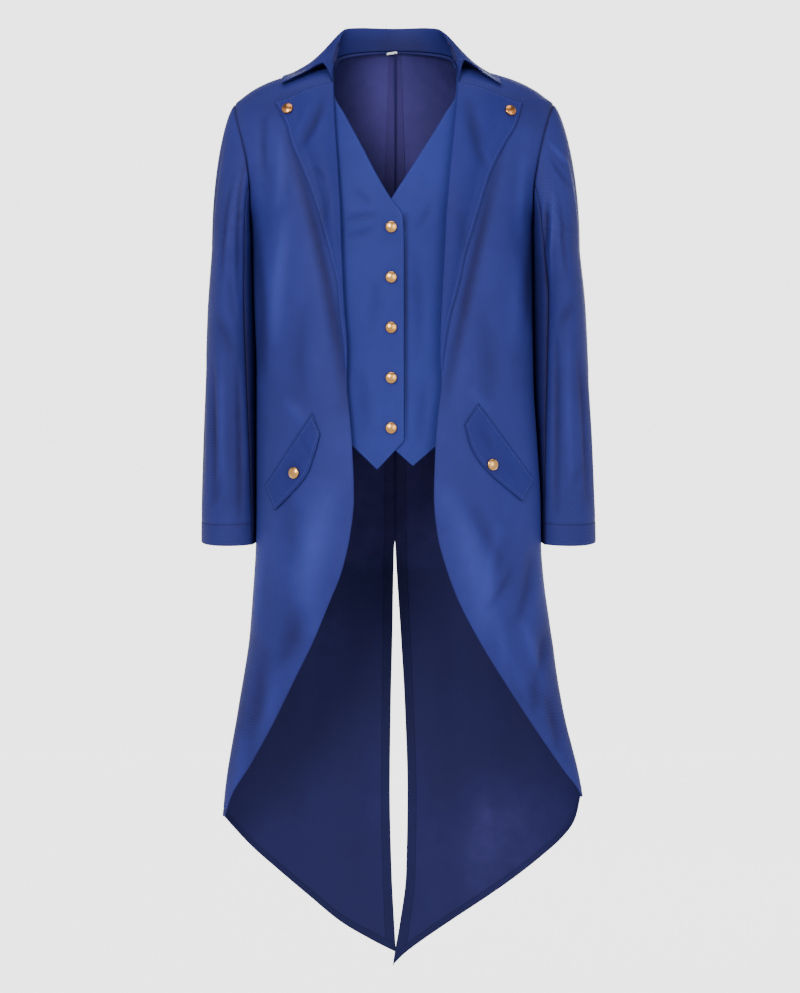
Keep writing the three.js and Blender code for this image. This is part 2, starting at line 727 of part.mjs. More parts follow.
// Cloth of one thickness on a surface, drawn back by the trims at its four edges. The
// surface's u is turned round where its normal would face away from the given way.
function clothWall(surface, columns, rows, thickness, facing, trims = {}) {
  const turned = surfaceNormal(surface, 0.5, 0.5).dot(facing) < 0;
  const laid = turned ? (u, v) => surface(1 - u, v) : surface;
  const startTrim = (turned ? trims.end : trims.start) ?? 0;
  const endTrim = (turned ? trims.start : trims.end) ?? 0;
  const geometry = new THREE.BoxGeometry(1, 1, 1, columns, rows, 1);
  const places = geometry.getAttribute("position");
  const step = 1e-3;
  for (let i = 0; i < places.count; i += 1) {
    const u = THREE.MathUtils.clamp(places.getX(i) + 0.5, 0, 1);
    const v = THREE.MathUtils.clamp(places.getY(i) + 0.5, 0, 1);
    const depth = places.getZ(i) < 0 ? thickness : 0;
    const point = laid(u, v);
    const across = laid(u + step, v).sub(laid(u - step, v)).normalize();
    const down = laid(u, v + step).sub(laid(u, v - step)).normalize();
    if (u === 0) {
      point.addScaledVector(across, startTrim);
    }
    if (u === 1) {
      point.addScaledVector(across, -endTrim);
    }
    if (v === 0) {
      point.addScaledVector(down, trims.top ?? 0);
    }
    point.addScaledVector(surfaceNormal(laid, u, v), -depth);
    places.setXYZ(i, point.x, point.y, point.z);
  }
  return closedBody(geometry);
}

const coat = new THREE.Group();

function addPiece(name, geometry, color, roughness, metalness = 0) {
  const material = new THREE.MeshStandardMaterial({ color, roughness, metalness });
  const mesh = new THREE.Mesh(geometry, material);
  mesh.name = name;
  coat.add(mesh);
  return mesh;
}

const towardsFront = new THREE.Vector3(0, -1, 0);
const towardsBack = new THREE.Vector3(0, 1, 0);
const halfGap = seamGap / 2;

function addSleeve(side) {
  const name = sideNames.get(side);
  const surface = sleeveSurface(side);
  const start = underSleeveStart;
  const top = (u, v) => surface(mix(-start, start, u), v);
  const under = (u, v) => surface(mix(start, 360 - start, u), v);
  const outward = new THREE.Vector3(side, 0, 0);
  const inward = new THREE.Vector3(-side, 0, 0);
  const trims = { start: sleeveSeamTrim, end: sleeveSeamTrim };
  addPiece(`sleeve_top_${name}`, clothWall(top, 12, 18, bodyCloth, outward, trims), blue, 0.6);
  addPiece(`sleeve_under_${name}`, clothWall(under, 6, 18, bodyCloth, inward, trims), blue, 0.6);
}

function buttonBody() {
  const profile = buttonOutline.map(
    ([out, up]) => new THREE.Vector2(out * buttonRadius, up * buttonHeight),
  );
  return closedBody(new THREE.LatheGeometry(profile, buttonSides));
}

function addButton(name, seat, normal) {
  const mesh = addPiece(name, buttonBody(), gold, 0.3, 1);
  mesh.quaternion.setFromUnitVectors(new THREE.Vector3(0, 1, 0), normal);
  mesh.position.copy(seat).addScaledVector(normal, layerGap);
}

function addButtonOnFront(name, place, below) {
  const normal = frontNormal(place.x, place.z);
  const seat = onFront(place.x, place.z).addScaledVector(normal, below + place.lift);
  addButton(name, seat, normal);
}

for (const side of sides) {
  const name = sideNames.get(side);
  const sewn = { end: halfGap, top: halfGap };
  const front = clothWall(coatFront(side), 10, 28, bodyCloth, towardsFront, sewn);
  addPiece(`coat_front_${name}`, front, blue, 0.6);
  const back = clothWall(coatBack(side), 10, 28, bodyCloth, towardsBack, sewn);
  addPiece(`coat_back_${name}`, back, blue, 0.6);
  addSleeve(side);
  const turnedBack = clothWall(lapel(side), 8, 18, bodyCloth, towardsFront);
  addPiece(`lapel_${name}`, turnedBack, shadedBlue, 0.6);
  const vest = clothWall(waistcoat(side), 8, 16, bodyCloth, towardsFront);
  addPiece(`waistcoat_${name}`, vest, blue, 0.6);
  const flap = clothWall(pocketFlap(side), 7, 4, bodyCloth, towardsFront);
  addPiece(`pocket_flap_${name}`, flap, shadedBlue, 0.6);
}

const turnDown = clothWall(collar(), 24, 10, collarCloth, new THREE.Vector3(0, 1, 1));
addPiece("collar", turnDown, shadedBlue, 0.6);

// Buttons down the lapped edge of the waistcoat
const lappedFront = waistcoatPoint(-1);
for (let i = 0; i < frontButtons; i += 1) {
  const z = firstButtonZ - buttonStep * i;
  addButton(`button_front_${i + 1}`, lappedFront(frontButtonX, z), towardsFront);
}

// One button at each lapel tip and one on each pocket flap
for (const side of sides) {
  const name = sideNames.get(side);
  addButtonOnFront(`button_lapel_${name}`, buttonPlaces.lapel[name], rollRadius + layerGap);
  addButtonOnFront(`button_flap_${name}`, buttonPlaces.flap[name], bodyCloth + flapGap);
}

// Blank label hanging inside the back of the neck, just under the collar seam
const labelBody = closedBody(new THREE.BoxGeometry(labelSize.wide, labelCloth, labelSize.high));
const label = addPiece("neck_label", labelBody, white, 0.8);
label.position.set(labelPlace.x, labelPlace.y, labelPlace.z);
label.rotation.y = THREE.MathUtils.degToRad(-labelPlace.lean);

export default coat;
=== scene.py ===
import math
from functools import lru_cache

import bmesh
import bpy
import numpy as np
from mathutils import Matrix, Vector


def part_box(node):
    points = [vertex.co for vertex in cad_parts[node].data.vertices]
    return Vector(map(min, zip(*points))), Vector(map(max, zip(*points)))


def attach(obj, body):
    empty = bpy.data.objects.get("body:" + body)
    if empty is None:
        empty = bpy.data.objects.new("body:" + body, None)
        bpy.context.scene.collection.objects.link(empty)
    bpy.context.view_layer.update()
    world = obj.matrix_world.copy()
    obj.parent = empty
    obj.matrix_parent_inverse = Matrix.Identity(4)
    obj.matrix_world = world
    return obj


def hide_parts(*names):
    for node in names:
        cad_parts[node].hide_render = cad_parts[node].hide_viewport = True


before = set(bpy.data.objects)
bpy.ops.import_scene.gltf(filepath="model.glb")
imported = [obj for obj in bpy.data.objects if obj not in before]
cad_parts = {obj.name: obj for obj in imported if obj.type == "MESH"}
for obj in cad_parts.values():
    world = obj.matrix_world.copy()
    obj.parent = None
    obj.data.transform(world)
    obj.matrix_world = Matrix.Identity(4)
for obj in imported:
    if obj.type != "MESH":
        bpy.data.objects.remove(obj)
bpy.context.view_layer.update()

mm = 0.001
spacing = 4.5  # mm between the lines of a cloth grid

# Camera first: level, at the middle of the coat's height
view = {"away": 4500.0, "x": 6.9, "z": -594.8, "frameHigh": 1370.3, "sensor": 36.0}


def addCamera():
    data = bpy.data.cameras.new("camera")
    data.sensor_width = view["sensor"]
    data.lens = view["sensor"] * view["away"] / view["frameHigh"]
    camera = bpy.data.objects.new("camera", data)
    camera.location = (view["x"] * mm, -view["away"] * mm, view["z"] * mm)
    camera.rotation_euler = (math.radians(90), 0, 0)
    bpy.context.collection.objects.link(camera)
    bpy.context.scene.camera = camera


addCamera()


# A mesh made into a piece, with its finishes
def meshPiece(name, mesh, *finishes):
    data = bpy.data.meshes.new(name)
    mesh.to_mesh(data)
    mesh.free()
    for finish in finishes:
        data.materials.append(finish)
    piece = bpy.data.objects.new(name, data)
    bpy.context.collection.objects.link(piece)
    return piece


# A line of points, across and up in mm, spun right round
def spunMesh(line, steps):
    mesh = bmesh.new()
    verts = [mesh.verts.new((x * mm, 0, z * mm)) for x, z in line]
    edges = [mesh.edges.new(pair) for pair in zip(verts, verts[1:])]
    bmesh.ops.spin(
        mesh, geom=verts + edges, cent=(0, 0, 0), axis=(0, 0, 1), angle=2 * math.pi,
        steps=steps, use_merge=True,
    )
    bmesh.ops.remove_doubles(mesh, verts=mesh.verts[:], dist=1e-5)
    bmesh.ops.recalc_face_normals(mesh, faces=mesh.faces[:])
    for face in mesh.faces:
        face.smooth = True
    return mesh


studio = {"floorZ": -1500.0, "away": 9500.0, "sweep": 2500.0, "high": 6500.0, "steps": 72}


# A pale bowl right round the coat: floor, sweep and wall in one
def addStudio():
    away, floor, sweep = (studio[k] for k in ("away", "floorZ", "sweep"))
    line = [(0, floor)]
    for i in range(13):
        turn = math.radians(90 * i / 12)
        line.append((away - sweep + sweep * math.sin(turn), floor + sweep * (1 - math.cos(turn))))
    line.append((away, studio["high"]))
    mesh = spunMesh(line, studio["steps"])
    bmesh.ops.reverse_faces(mesh, faces=mesh.faces[:])
    backdrop = meshPiece("backdrop", mesh)
    return backdrop


def addLight(name, place, aim, size, power):
    data = bpy.data.lights.new(name, "AREA")
    data.shape = "RECTANGLE"
    data.size, data.size_y = (s * mm for s in size)
    data.energy = power
    lamp = bpy.data.objects.new(name, data)
    lamp.location = Vector(place) * mm
    lamp.rotation_mode = "QUATERNION"
    lamp.rotation_quaternion = (Vector(aim) - Vector(place)).to_track_quat("-Z", "Y")
    lamp.visible_camera = False
    bpy.context.collection.objects.link(lamp)


lights = {
    "key": ((-1500, -3900, 1100), (0, 0, -560), (1500, 1500), 132),
    "fill": ((2100, -3500, 100), (0, 0, -650), (2200, 2600), 58),
    "top": ((0, -500, 2700), (0, 0, -300), (2600, 2000), 48),
    "behind": ((900, 3800, 900), (0, 0, -500), (2200, 2200), 70),
}
for lightName, (place, aim, size, power) in lights.items():
    addLight(lightName, place, aim, size, power)
world = bpy.data.worlds.new("studio")
bpy.context.scene.world = world
world.use_nodes = True
sky = world.node_tree.nodes["Background"].inputs
sky["Color"].default_value = (0.9, 0.93, 1.0, 1)
sky["Strength"].default_value = 0.25
print("camera and studio made")


# A socket that takes part in Python sums, each sign adding its Math node
class Wire:
    def __init__(self, tree, socket):
        self.tree = tree
        self.socket = socket

    def maths(self, operation, other=None, turned=False):
        made = self.tree.nodes.new("ShaderNodeMath")
        made.operation = operation
        ends = [self, other] if not turned else [other, self]
        for end, slot in zip(ends, made.inputs):
            if isinstance(end, Wire):
                self.tree.links.new(end.socket, slot)
            elif end is not None:
                slot.default_value = end
        return Wire(self.tree, made.outputs[0])

    def __add__(self, other):
        return self.maths("ADD", other)

    def __radd__(self, other):
        return self.maths("ADD", other)

    def __sub__(self, other):
        return self.maths("SUBTRACT", other)

    def __rsub__(self, other):
        return self.maths("SUBTRACT", other, True)

    def __mul__(self, other):
        return self.maths("MULTIPLY", other)

    def __rmul__(self, other):
        return self.maths("MULTIPLY", other)

    def sine(self):
        return self.maths("SINE")

    def clipped(self):
        return self.maths("MINIMUM", 1.0).maths("MAXIMUM", 0.0)


class Finish:
    def __init__(self, name):
        self.material = bpy.data.materials.new(name)
        self.material.use_nodes = True
        self.tree = self.material.node_tree
        self.surface = self.tree.nodes["Principled BSDF"]

    def node(self, kind, settings=None, values=None, out=0):
        made = self.tree.nodes.new(kind)
        for key, value in (settings or {}).items():
            if key == "stops":
                ramp = made.color_ramp.elements
                while len(ramp) < len(value):
                    ramp.new(0.5)
                for stop, (at, colour) in zip(ramp, value):
                    stop.position = at
                    stop.color = colour
            else:
                setattr(made, key, value)
        for key, value in (values or {}).items():
            if isinstance(value, Wire):
                self.tree.links.new(value.socket, made.inputs[key])
            else:
                made.inputs[key].default_value = value
        return Wire(self.tree, made.outputs[out])

    # Across, along and up of a vector
    def parts(self, vector):
        split = self.tree.nodes.new("ShaderNodeSeparateXYZ")
        self.tree.links.new(vector.socket, split.inputs[0])
        return [Wire(self.tree, out) for out in split.outputs]

    def set(self, **values):
        for key, value in values.items():
            name = key.replace("_", " ")
            if isinstance(value, Wire):
                self.tree.links.new(value.socket, self.surface.inputs[name])
            else:
                self.surface.inputs[name].default_value = value


def linear(colour):
    part = [c / 255 for c in colour]
    return tuple(c / 12.92 if c < 0.04045 else ((c + 0.055) / 1.055) ** 2.4 for c in part) + (1,)


twill = {"pitch": 0.0019, "slope": 1.0, "deep": 0.00007, "tint": 0.11, "patch": 7.0, "mottle": 55.0}


# Twill whose colour turns to a painted light colour or a painted shade colour (deep) as the painted shade
# attribute says
def twillFinish(name, light, face, deep, roughness=0.6, tone="shade"):
    finish = Finish(name)
    across = finish.node("ShaderNodeUVMap", {"uv_map": "cloth"})
    s, t = finish.parts(across)[:2]
    turn = 2 * math.pi / twill["pitch"]
    rib = ((s * twill["slope"] + t) * turn).sine() * 0.5 + 0.5
    yarn = ((t - s) * (turn * 0.5)).sine() * 0.25 + 0.25
    place = finish.node("ShaderNodeTexCoord", out=3)
    patch = finish.node("ShaderNodeTexNoise", {}, {"Vector": place, "Scale": twill["patch"], "Detail": 2.0})
    mottle = finish.node("ShaderNodeTexNoise", {}, {"Vector": place, "Scale": twill["mottle"], "Detail": 3.0})
    shade = finish.node("ShaderNodeAttribute", {"attribute_name": tone}, out=2)
    uneven = (patch - 0.5) * 0.3 + (mottle - 0.5) * 0.1
    share = shade * 0.5 + uneven + (0.5 - rib - yarn) * twill["tint"] + 0.62
    # Ramp stops: painted light, the cloth's own colour, painted shade
    colour = finish.node(
        "ShaderNodeValToRGB",
        {"stops": [(0.0, linear(light)), (0.5, linear(face)), (1.0, linear(deep))]},
        {"Fac": share},
    )
    bump = finish.node(
        "ShaderNodeBump", {}, {"Strength": 0.45, "Distance": twill["deep"], "Height": rib + yarn},
    )
    finish.set(Base_Color=colour, Roughness=rib * 0.06 + (roughness - 0.03), Normal=bump)
    finish.set(Specular_IOR_Level=0.12)
    return finish.material


# Each cloth gives painted light, own colour and painted shade; the inside is coloured darker than the outside
# as painted shade
cloths = {
    "coat": twillFinish("coatTwill", (60, 71, 150), (44, 49, 119), (22, 20, 60)),
    "shadedInside": twillFinish("coatTwillInside", (90, 79, 156), (30, 30, 77), (19, 19, 48), 0.7, "inner"),
    "turned": twillFinish("turnedTwill", (53, 61, 134), (36, 41, 110), (18, 17, 55)),
    "waistcoat": twillFinish("waistcoatTwill", (57, 71, 150), (41, 49, 123), (19, 21, 64)),
    "hem": twillFinish("hemTwill", (84, 72, 142), (24, 25, 68), (13, 12, 36), 0.7, "inner"),
}


def metalFinish(name, low, high):
    finish = Finish(name)
    place = finish.node("ShaderNodeTexCoord", out=3)
    wear = finish.node("ShaderNodeTexNoise", {}, {"Vector": place, "Scale": 40.0, "Detail": 1.0})
    colour = finish.node(
        "ShaderNodeMix", {"data_type": "RGBA"}, {0: wear, 6: linear(low), 7: linear(high)}, out=2,
    )
    finish.set(Base_Color=colour, Roughness=wear * 0.04 + 0.25, Metallic=1.0)
    return finish.material


def plainFinish(name, colour, roughness):
    finish = Finish(name)
    place = finish.node("ShaderNodeTexCoord", out=3)
    grain = finish.node("ShaderNodeTexNoise", {}, {"Vector": place, "Scale": 900.0, "Detail": 2.0})
    bump = finish.node("ShaderNodeBump", {}, {"Strength": 0.3, "Distance": 0.0001, "Height": grain})
    finish.set(Base_Color=linear(colour), Roughness=roughness, Normal=bump)
    return finish.material


paper = {"halfWide": 4.0, "ahead": 0.5, "glow": 3.15}  # metres, and the light it gives


# The bowl gives some light itself, most of it straight behind the coat
def paperFinish():
    finish = Finish("paper")
    place = finish.node("ShaderNodeTexCoord", out=3)
    across, behind = finish.parts(place)[:2]
    near = ((paper["halfWide"] - across.maths("ABSOLUTE")) * 0.55).clipped()
    back = near * ((behind + paper["ahead"]) * 0.66).clipped()
    glow = finish.node(
        "ShaderNodeValToRGB",
        {"stops": [(0.0, (0.25, 0.25, 0.255, 1)), (1.0, (0.985, 0.985, 0.99, 1))]},
        {"Fac": back},
    )
    finish.set(Base_Color=(0.1, 0.1, 0.1, 1), Roughness=0.9)
    finish.set(Emission_Color=glow, Emission_Strength=paper["glow"])
    return finish.material


metal = metalFinish("gildedMetal", (192, 130, 66), (230, 182, 114))
# Lapel buttons take a darker copy of the gilded metal: painted reflection of the dark above them
paintedReflectionMetal = metalFinish("paintedReflectionGildedMetal", (166, 98, 52), (220, 160, 98))
threadFinish = plainFinish("thread", (56, 66, 138), 0.5)
labelFinish = plainFinish("labelWeave", (222, 222, 226), 0.8)
addStudio().data.materials.append(paperFinish())
print("finishes made")

# Form of the coat, in millimetres, as the solids have it
chestZ = -225.0
shoulderEndZ = -53.0
cornerZ = {"right": -1036.0, "left": -1009.0}
neck = {"backY": 62.0, "backZ": 28.0, "half": 85.0, "notchZ": -29.0, "shoulderHalf": 220.0}
topShare = 9 / 28
neckShare = 0.4
neckPointShare = 2 / 3
layerGap = 0.6
flapGap = 1.0
clothThick = 1.5
rollRadius = 2.1


def table(names, text):
    rows = [[float(x) for x in line.split()] for line in text.strip().splitlines()]
    return {name: [row[k] for row in rows] for k, name in enumerate(names.split())}


# half widths on the wearer's two sides, depths before and behind, corner exponent
body = table("z right left front back corner", """
    0 85 85 10 60 1
    -5 112 112 25 66 1
    -10 132 132 36 72 1
    -20 167 165 49 80 1
    -28 186 183 57 86 0.98
    -36 200 197 63 90 0.96
    -45 212 209 69 94 0.94
    -53 221 219 74 98 0.93
    -73 227 223 84 104 0.9
    -106 230 222 99 110 0.87
    -140 227 216 111 114 0.84
    -182 213 203 120 117 0.82
    -225 199 191 124 118 0.8
    -324 195 190 124 108 0.8
    -430 191 191 121 104 0.8
    -531 191 197 121 110 0.8
    -600 191 201 122 116 0.8
    -669 192 202 120 117 0.8
    -779 200 215 104 114 0.82
    -889 217 232 78 111 0.86
    -1000 235 258 52 109 0.9
    -1038 238 262 44 108 0.9
    -1150 240 264 40 104 0.9
    -1262 240 264 40 97 0.9
""")
sideSeam = table("z y", """
    -53 10
    -225 8
    -430 5
    -1262 5
""")
frontEdge = table("z right left", """
    0 85 85
    -30 85.5 87
    -90 83 82.5
    -155 78.5 76
    -215 75 71
    -265 73.5 68.5
    -340 70 64.5
    -410 65 62
    -440 65 63
    -490 60.5 57.5
    -530 57.5 54.5
    -597 55 52.5
    -645 60 57
    -697 72 71
    -737 88 86.5
    -788 109 113
    -847 138 149
    -910 169 190
    -967 201 229
    -1009 226 257.5
    -1036 234.5 262
""")
armhole = table("z right left", """
    -53 221 219
    -73 218.5 212
    -106 210 202.5
    -140 202 195
    -182 198 189.5
    -225 199 191
""")
sideOf = {"right": -1, "left": 1}


def signed(value, power):
    return math.copysign(abs(value) ** power, value)


def mixed(a, b, share):
    return a + (b - a) * share


def clamp(value, low, high):
    return max(low, min(high, value))


def smoothStep(value, low, high):
    t = clamp((value - low) / (high - low), 0, 1)
    return t * t * (3 - 2 * t)


# Smooth value of a column between a table's rows, straight beyond its ends
def look(rows, name, at, key="z"):
    keys, values = rows[key], rows[name]
    last = len(keys) - 1
    way = 1 if keys[last] > keys[0] else -1
    i = 0
    while i < last - 1 and (at - keys[i + 1]) * way > 0:
        i += 1

    def slope(j):
        return (values[j + 1] - values[j]) / (keys[j + 1] - keys[j])

    def tangent(j):
        if j == 0 or j == last:
            return slope(max(j - 1, 0))
        before, after = slope(j - 1), slope(j)
        return 0 if before * after <= 0 else 2 * before * after / (before + after)

    step = keys[i + 1] - keys[i]
    t = (at - keys[i]) / step
    a, b = tangent(i), tangent(i + 1)
    if t < 0:
        return values[i] + a * step * t
    if t > 1:
        return values[i + 1] + b * step * (t - 1)
    return (
        (2 * t**3 - 3 * t**2 + 1) * values[i] + (t**3 - 2 * t**2 + t) * step * a
        + (3 * t**2 - 2 * t**3) * values[i + 1] + (t**3 - t**2) * step * b
    )


@lru_cache(maxsize=200000)
def section(z, name):
    half = look(body, name, z)
    along = (half - neck["half"]) / (neck["shoulderHalf"] - neck["half"])
    seamY = 10 * along if z > shoulderEndZ else look(sideSeam, "y", z)
    return half, look(body, "front", z), look(body, "back", z), seamY, look(body, "corner", z)


def angleAt(out, cut):
    return math.acos(signed(clamp(out / cut[0], -1, 1), 1 / cut[4]))


def aroundFront(side, angle, z, cut):
    forward = signed(math.sin(angle), cut[4])
    across = side * cut[0] * signed(math.cos(angle), cut[4])
    return Vector((across, cut[3] * (1 - forward) - cut[1] * forward, z))


def aroundBack(side, angle, z, cut):
    backward = signed(math.sin(angle), cut[4])
    across = side * cut[0] * signed(math.cos(angle), cut[4])
    return Vector((across, cut[3] * (1 - backward) + cut[2] * backward, z))


# Broad hollows that the solids have too: x, z, half height, half width, depth
hollows = [
    (-178, -190, 75, 13, 4),
    (-82, -415, 80, 10, 2.5),
    (172, -200, 80, 13, 4),
    (80, -430, 80, 10, 2.5),
    (-150, -800, 150, 26, 4),
    (160, -790, 150, 26, 4),
]


def hollowed(point, angle):
    fade = smoothStep(angle, 0, 0.5)
    for x, z, high, wide, deep in hollows:
        square = ((point.x - x) / wide) ** 2 + ((point.z - z) / high) ** 2
        if square < 12:
            point.y += fade * deep * math.exp(-square)
    return point


def coatFront(name):
    side = sideOf[name]

    def surface(u, v):
        t = v / topShare
        drop = signed(t, 1.5)
        below = max(0, (v - topShare) / (1 - topShare))
        low = mixed(chestZ, cornerZ[name], below)
        innerZ = mixed(0, chestZ, drop) if t < 1 else low
        outerZ = mixed(shoulderEndZ, chestZ, drop) if t < 1 else low
        z = mixed(shoulderEndZ * signed(u, 1.5), chestZ, drop) if t < 1 else low
        inner = angleAt(look(frontEdge, name, innerZ), section(innerZ, name))
        outer = angleAt(look(armhole, name, outerZ), section(outerZ, name)) if t < 1 else 0
        angle = mixed(inner, outer, u)
        return hollowed(aroundFront(side, angle, z, section(z, name)), angle)

    return surface


@lru_cache(maxsize=200000)
def onFront(x, z):
    name = "right" if x < 0 else "left"
    cut = section(z, name)
    angle = angleAt(abs(x), cut)
    return hollowed(aroundFront(sideOf[name], angle, z, cut), angle)


def frontNormal(x, z):
    across = onFront(x + 0.5, z) - onFront(x - 0.5, z)
    down = onFront(x, z - 0.5) - onFront(x, z + 0.5)
    return down.cross(across).normalized()


def bezier(a, b, c, d, t):
    s = 1 - t
    return a * (s**3) + b * (3 * s * s * t) + c * (3 * s * t * t) + d * (t**3)


def backTop(name, u):
    side = sideOf[name]
    if u < neckShare:
        turn = math.pi / 2 * u / neckShare
        across = side * neck["half"] * math.sin(turn)
        rise = neck["backZ"] * max(math.cos(turn), 0) ** 0.7
        return Vector((across, neck["backY"] * math.cos(turn), rise))
    z = shoulderEndZ * signed((u - neckShare) / (1 - neckShare), 1.5)
    return aroundFront(side, 0, z, section(z, name))


vent = table("z right left forward", """
    -650 0.02 0.02 0
    -664 1.4 0.4 0
    -800 4 8.6 0
    -885 6 13.5 0
    -1010 7.4 17.4 0
    -1125 4.8 15.5 -2
    -1200 1 6 -5
    -1236 -1 -0.5 -6
    -1262 -2 -4.4 -6
""")
tailHem = table("x right left", """
    -4.4 -1239 -1261
    10 -1232 -1242
    35 -1219 -1221
    75 -1195 -1192
    120 -1157 -1161
    162 -1120 -1131
    200 -1085 -1101
    232 -1048 -1072
    250 -1022 -1048
    262 -1010 -1009
""")


def coatBack(name):
    side = sideOf[name]
    lowest = section(-1150, name)
    chest = section(chestZ, name)
    first = angleAt(0.02, chest)

    def surface(u, v):
        t = v / topShare
        if t < 1:
            bottom = aroundBack(side, mixed(first, 0, u), chestZ, chest)
            top = backTop(name, u)
            nearArm = smoothStep(u, 0.6, 1)
            nearNeck = clamp(1 - u / neckShare, 0, 1)
            fromTop = Vector((0, 58, 0)).lerp(Vector((0, 30, -40)), nearNeck)
            fromTop = fromTop.lerp(Vector((-side * 11, 62, -5)), nearArm)
            fromBottom = Vector((0, 0, 90)).lerp(Vector((-side * 2, 92, 10)), nearArm)
            return bezier(top, top + fromTop, bottom + fromBottom, bottom, t)
        below = (v - topShare) / (1 - topShare)
        reach = lowest[0] * signed(math.sin(u * math.pi / 2), lowest[4])
        z = mixed(chestZ, look(tailHem, name, reach, "x"), below)
        cut = section(z, name)
        low = z <= vent["z"][0]
        edge = look(vent, name, z) if low else 0.02
        point = aroundBack(side, mixed(angleAt(edge, cut), 0, u), z, cut)
        if side > 0 and low:
            point.y += look(vent, "forward", z) * math.exp(-u * 3)
        return point

    return surface


# Sleeve: outermost reach and underside ridge on each side, half depth, how far back, gap to the body
sleeves = table("z right left ridgeRight ridgeLeft deep y clear", """
    -255 253 255.5 205 203 80 11 -0.9
    -330 259 263.5 206 209.5 75 18 -1
    -430 263 269 203.5 208 68 27 -1
    -530 266.5 274.5 199.5 206 61 29 -0.8
    -620 268.5 277.8 196.5 205.2 55 28 -0.5
    -664 268.5 278.4 195.5 205.2 52 26 -0.3
""")
sleeve = {
    "corner": 0.9, "cap": 9 / 27, "under": 140.0, "seam": 125.0, "cuffZ": -657.0, "slant": 6.0,
    "swell": 15.5, "flatten": 4.5, "hug": 2.2, "sag": 36.0, "rise": 107.0,
}


def sleeveSurface(name):
    side = sideOf[name]
    front, back = coatFront(name), coatBack(name)
    ridgeName = "ridge" + name.capitalize()
    corner = sleeve["corner"]
    seam, start = math.radians(sleeve["seam"]), math.radians(sleeve["under"])
    seamAcross, seamForward = signed(math.cos(seam), corner), signed(math.sin(seam), corner)
    ringTop = sleeves["z"][0]

    def ring(turn, z):
        deep, middleY, outer, ridge = (look(sleeves, k, z) for k in ("deep", "y", name, ridgeName))
        if abs(turn) < start:
            wide = (outer - ridge) / (1 - seamAcross)
            around = turn / start * seam
            across = outer - wide + wide * signed(math.cos(around), corner)
            return Vector((side * across, middleY - deep * signed(math.sin(around), corner), z))
        inner = section(z, name)[0] + look(sleeves, "clear", z)
        part = math.pi / 2 * (abs(turn) - start) / (math.pi - start)
        forward = math.copysign(deep * seamForward * math.cos(part), turn)
        return Vector((side * mixed(ridge, inner, math.sin(part)), middleY - forward, z))

    def surface(degrees, v):
        turn = math.radians(degrees)
        turn = turn - 2 * math.pi if turn > math.pi else turn
        outside = (1 + math.cos(turn)) / 2
        if v < sleeve["cap"]:
            share = abs(turn) / math.pi * topShare
            top = front(1, share) if turn >= 0 else back(1, share)
            bottom = ring(turn, ringTop)
            fall = -8 - sleeve["sag"] * outside * (1 - outside)
            hug = side * sleeve["hug"] * (1 - outside) ** 8
            swell = 1 + sleeve["swell"] * outside**0.4 - sleeve["flatten"] * outside**2
            fromTop = top + Vector((side * swell - hug, -6 * math.sin(turn), fall))
            fromBottom = bottom + Vector((-hug * 0.6, 0, 8 + sleeve["rise"] * outside**2))
            return bezier(top, fromTop, fromBottom, bottom, v / sleeve["cap"])
        below = (v - sleeve["cap"]) / (1 - sleeve["cap"])
        cuff = sleeve["cuffZ"] - sleeve["slant"] * math.sin(turn)
        return ring(turn, mixed(ringTop, cuff, below))

    return surface


lapelEdge = table("z right left", """
    -58 163 174
    -90 148 164
    -120 139 147
    -155 124 130
    -195 109 117
    -235 97.5 105
    -275 86 94
    -315 77 85
    -350 74 75
    -390 70 68
    -425 67.5 64.5
""")

lapel = {"rollShare": 0.25, "topZ": -31.0, "tipZ": -58.0, "lowZ": -425.0, "closeFrom": 0.86, "close": 0.75}


def lapelSurface(name):
    side = sideOf[name]
    rollShare = lapel["rollShare"]

    def surface(u, v):
        rollZ, edgeZ = (mixed(lapel[k], lapel["lowZ"], v) for k in ("topZ", "tipZ"))
        rollX = side * look(frontEdge, name, rollZ)
        low = 1 - lapel["close"] * smoothStep(v, lapel["closeFrom"], 1)
        if u < rollShare:
            normal = frontNormal(rollX, rollZ)
            outward = Vector((-side, 0, 0))
            outward = (outward - normal * outward.dot(normal)).normalized()
            lean = math.radians(mixed(-40, 90, u / rollShare))
            reach = outward * math.cos(lean) + normal * math.sin(lean)
            return onFront(rollX, rollZ) + reach * rollRadius * low
        share = (u - rollShare) / (1 - rollShare)
        width = look(lapelEdge, name, edgeZ) - abs(rollX)
        x = rollX + side * max(width, 3) * share
        z = mixed(rollZ, edgeZ, share)
        swell = math.sin(math.pi * min(1, share * 1.4)) * min(3.5, width / 12)
        lift = (rollRadius + layerGap * min(1, share * 3) + max(0, swell)) * low
        return onFront(x, z) + frontNormal(x, z) * lift

    return surface


waistcoatEdge = table("z right left", """
    -4 84.5 85
    -45 83 83
    -76 68 67
    -120 45 41
    -165 22 13
    -195 4 -6
    -217 -11 -18
    -260 -12.5 -20
    -560 -12.5 -20
""")
waistcoatArm = table("z right left", """
    -19 150 148
    -70 158 154
    -140 172 165
    -190 186 178
    -240 194 186
""")
waistcoatInset = table("z inset", """
    -4 2
    -45 6
    -140 11
    -260 14
    -560 16
""")
waistcoatHem = {
    "right": [(-20, -512), (24, -559), (56, -528), (110, -520), (195, -520)],
    "left": [(-20, -514), (24, -554), (56, -527), (110, -520), (195, -520)],
}
waistcoatFit = {
    "drop": 4.0, "side": 4.0, "lap": 1.6, "lowZ": -540.0, "spread": 1.28, "armShare": 0.5,
    "strapStart": -4.0, "strapEnd": -19.0, "armEnd": -240.0,
}


def waistcoatSection(z, name):
    half, front, back, seamY, corner = section(z + waistcoatFit["drop"], name)
    lap = waistcoatFit["lap"] if name == "right" else -waistcoatFit["lap"]
    inset = look(waistcoatInset, "inset", z)
    return half - waistcoatFit["side"], front + lap - inset, back, seamY, corner


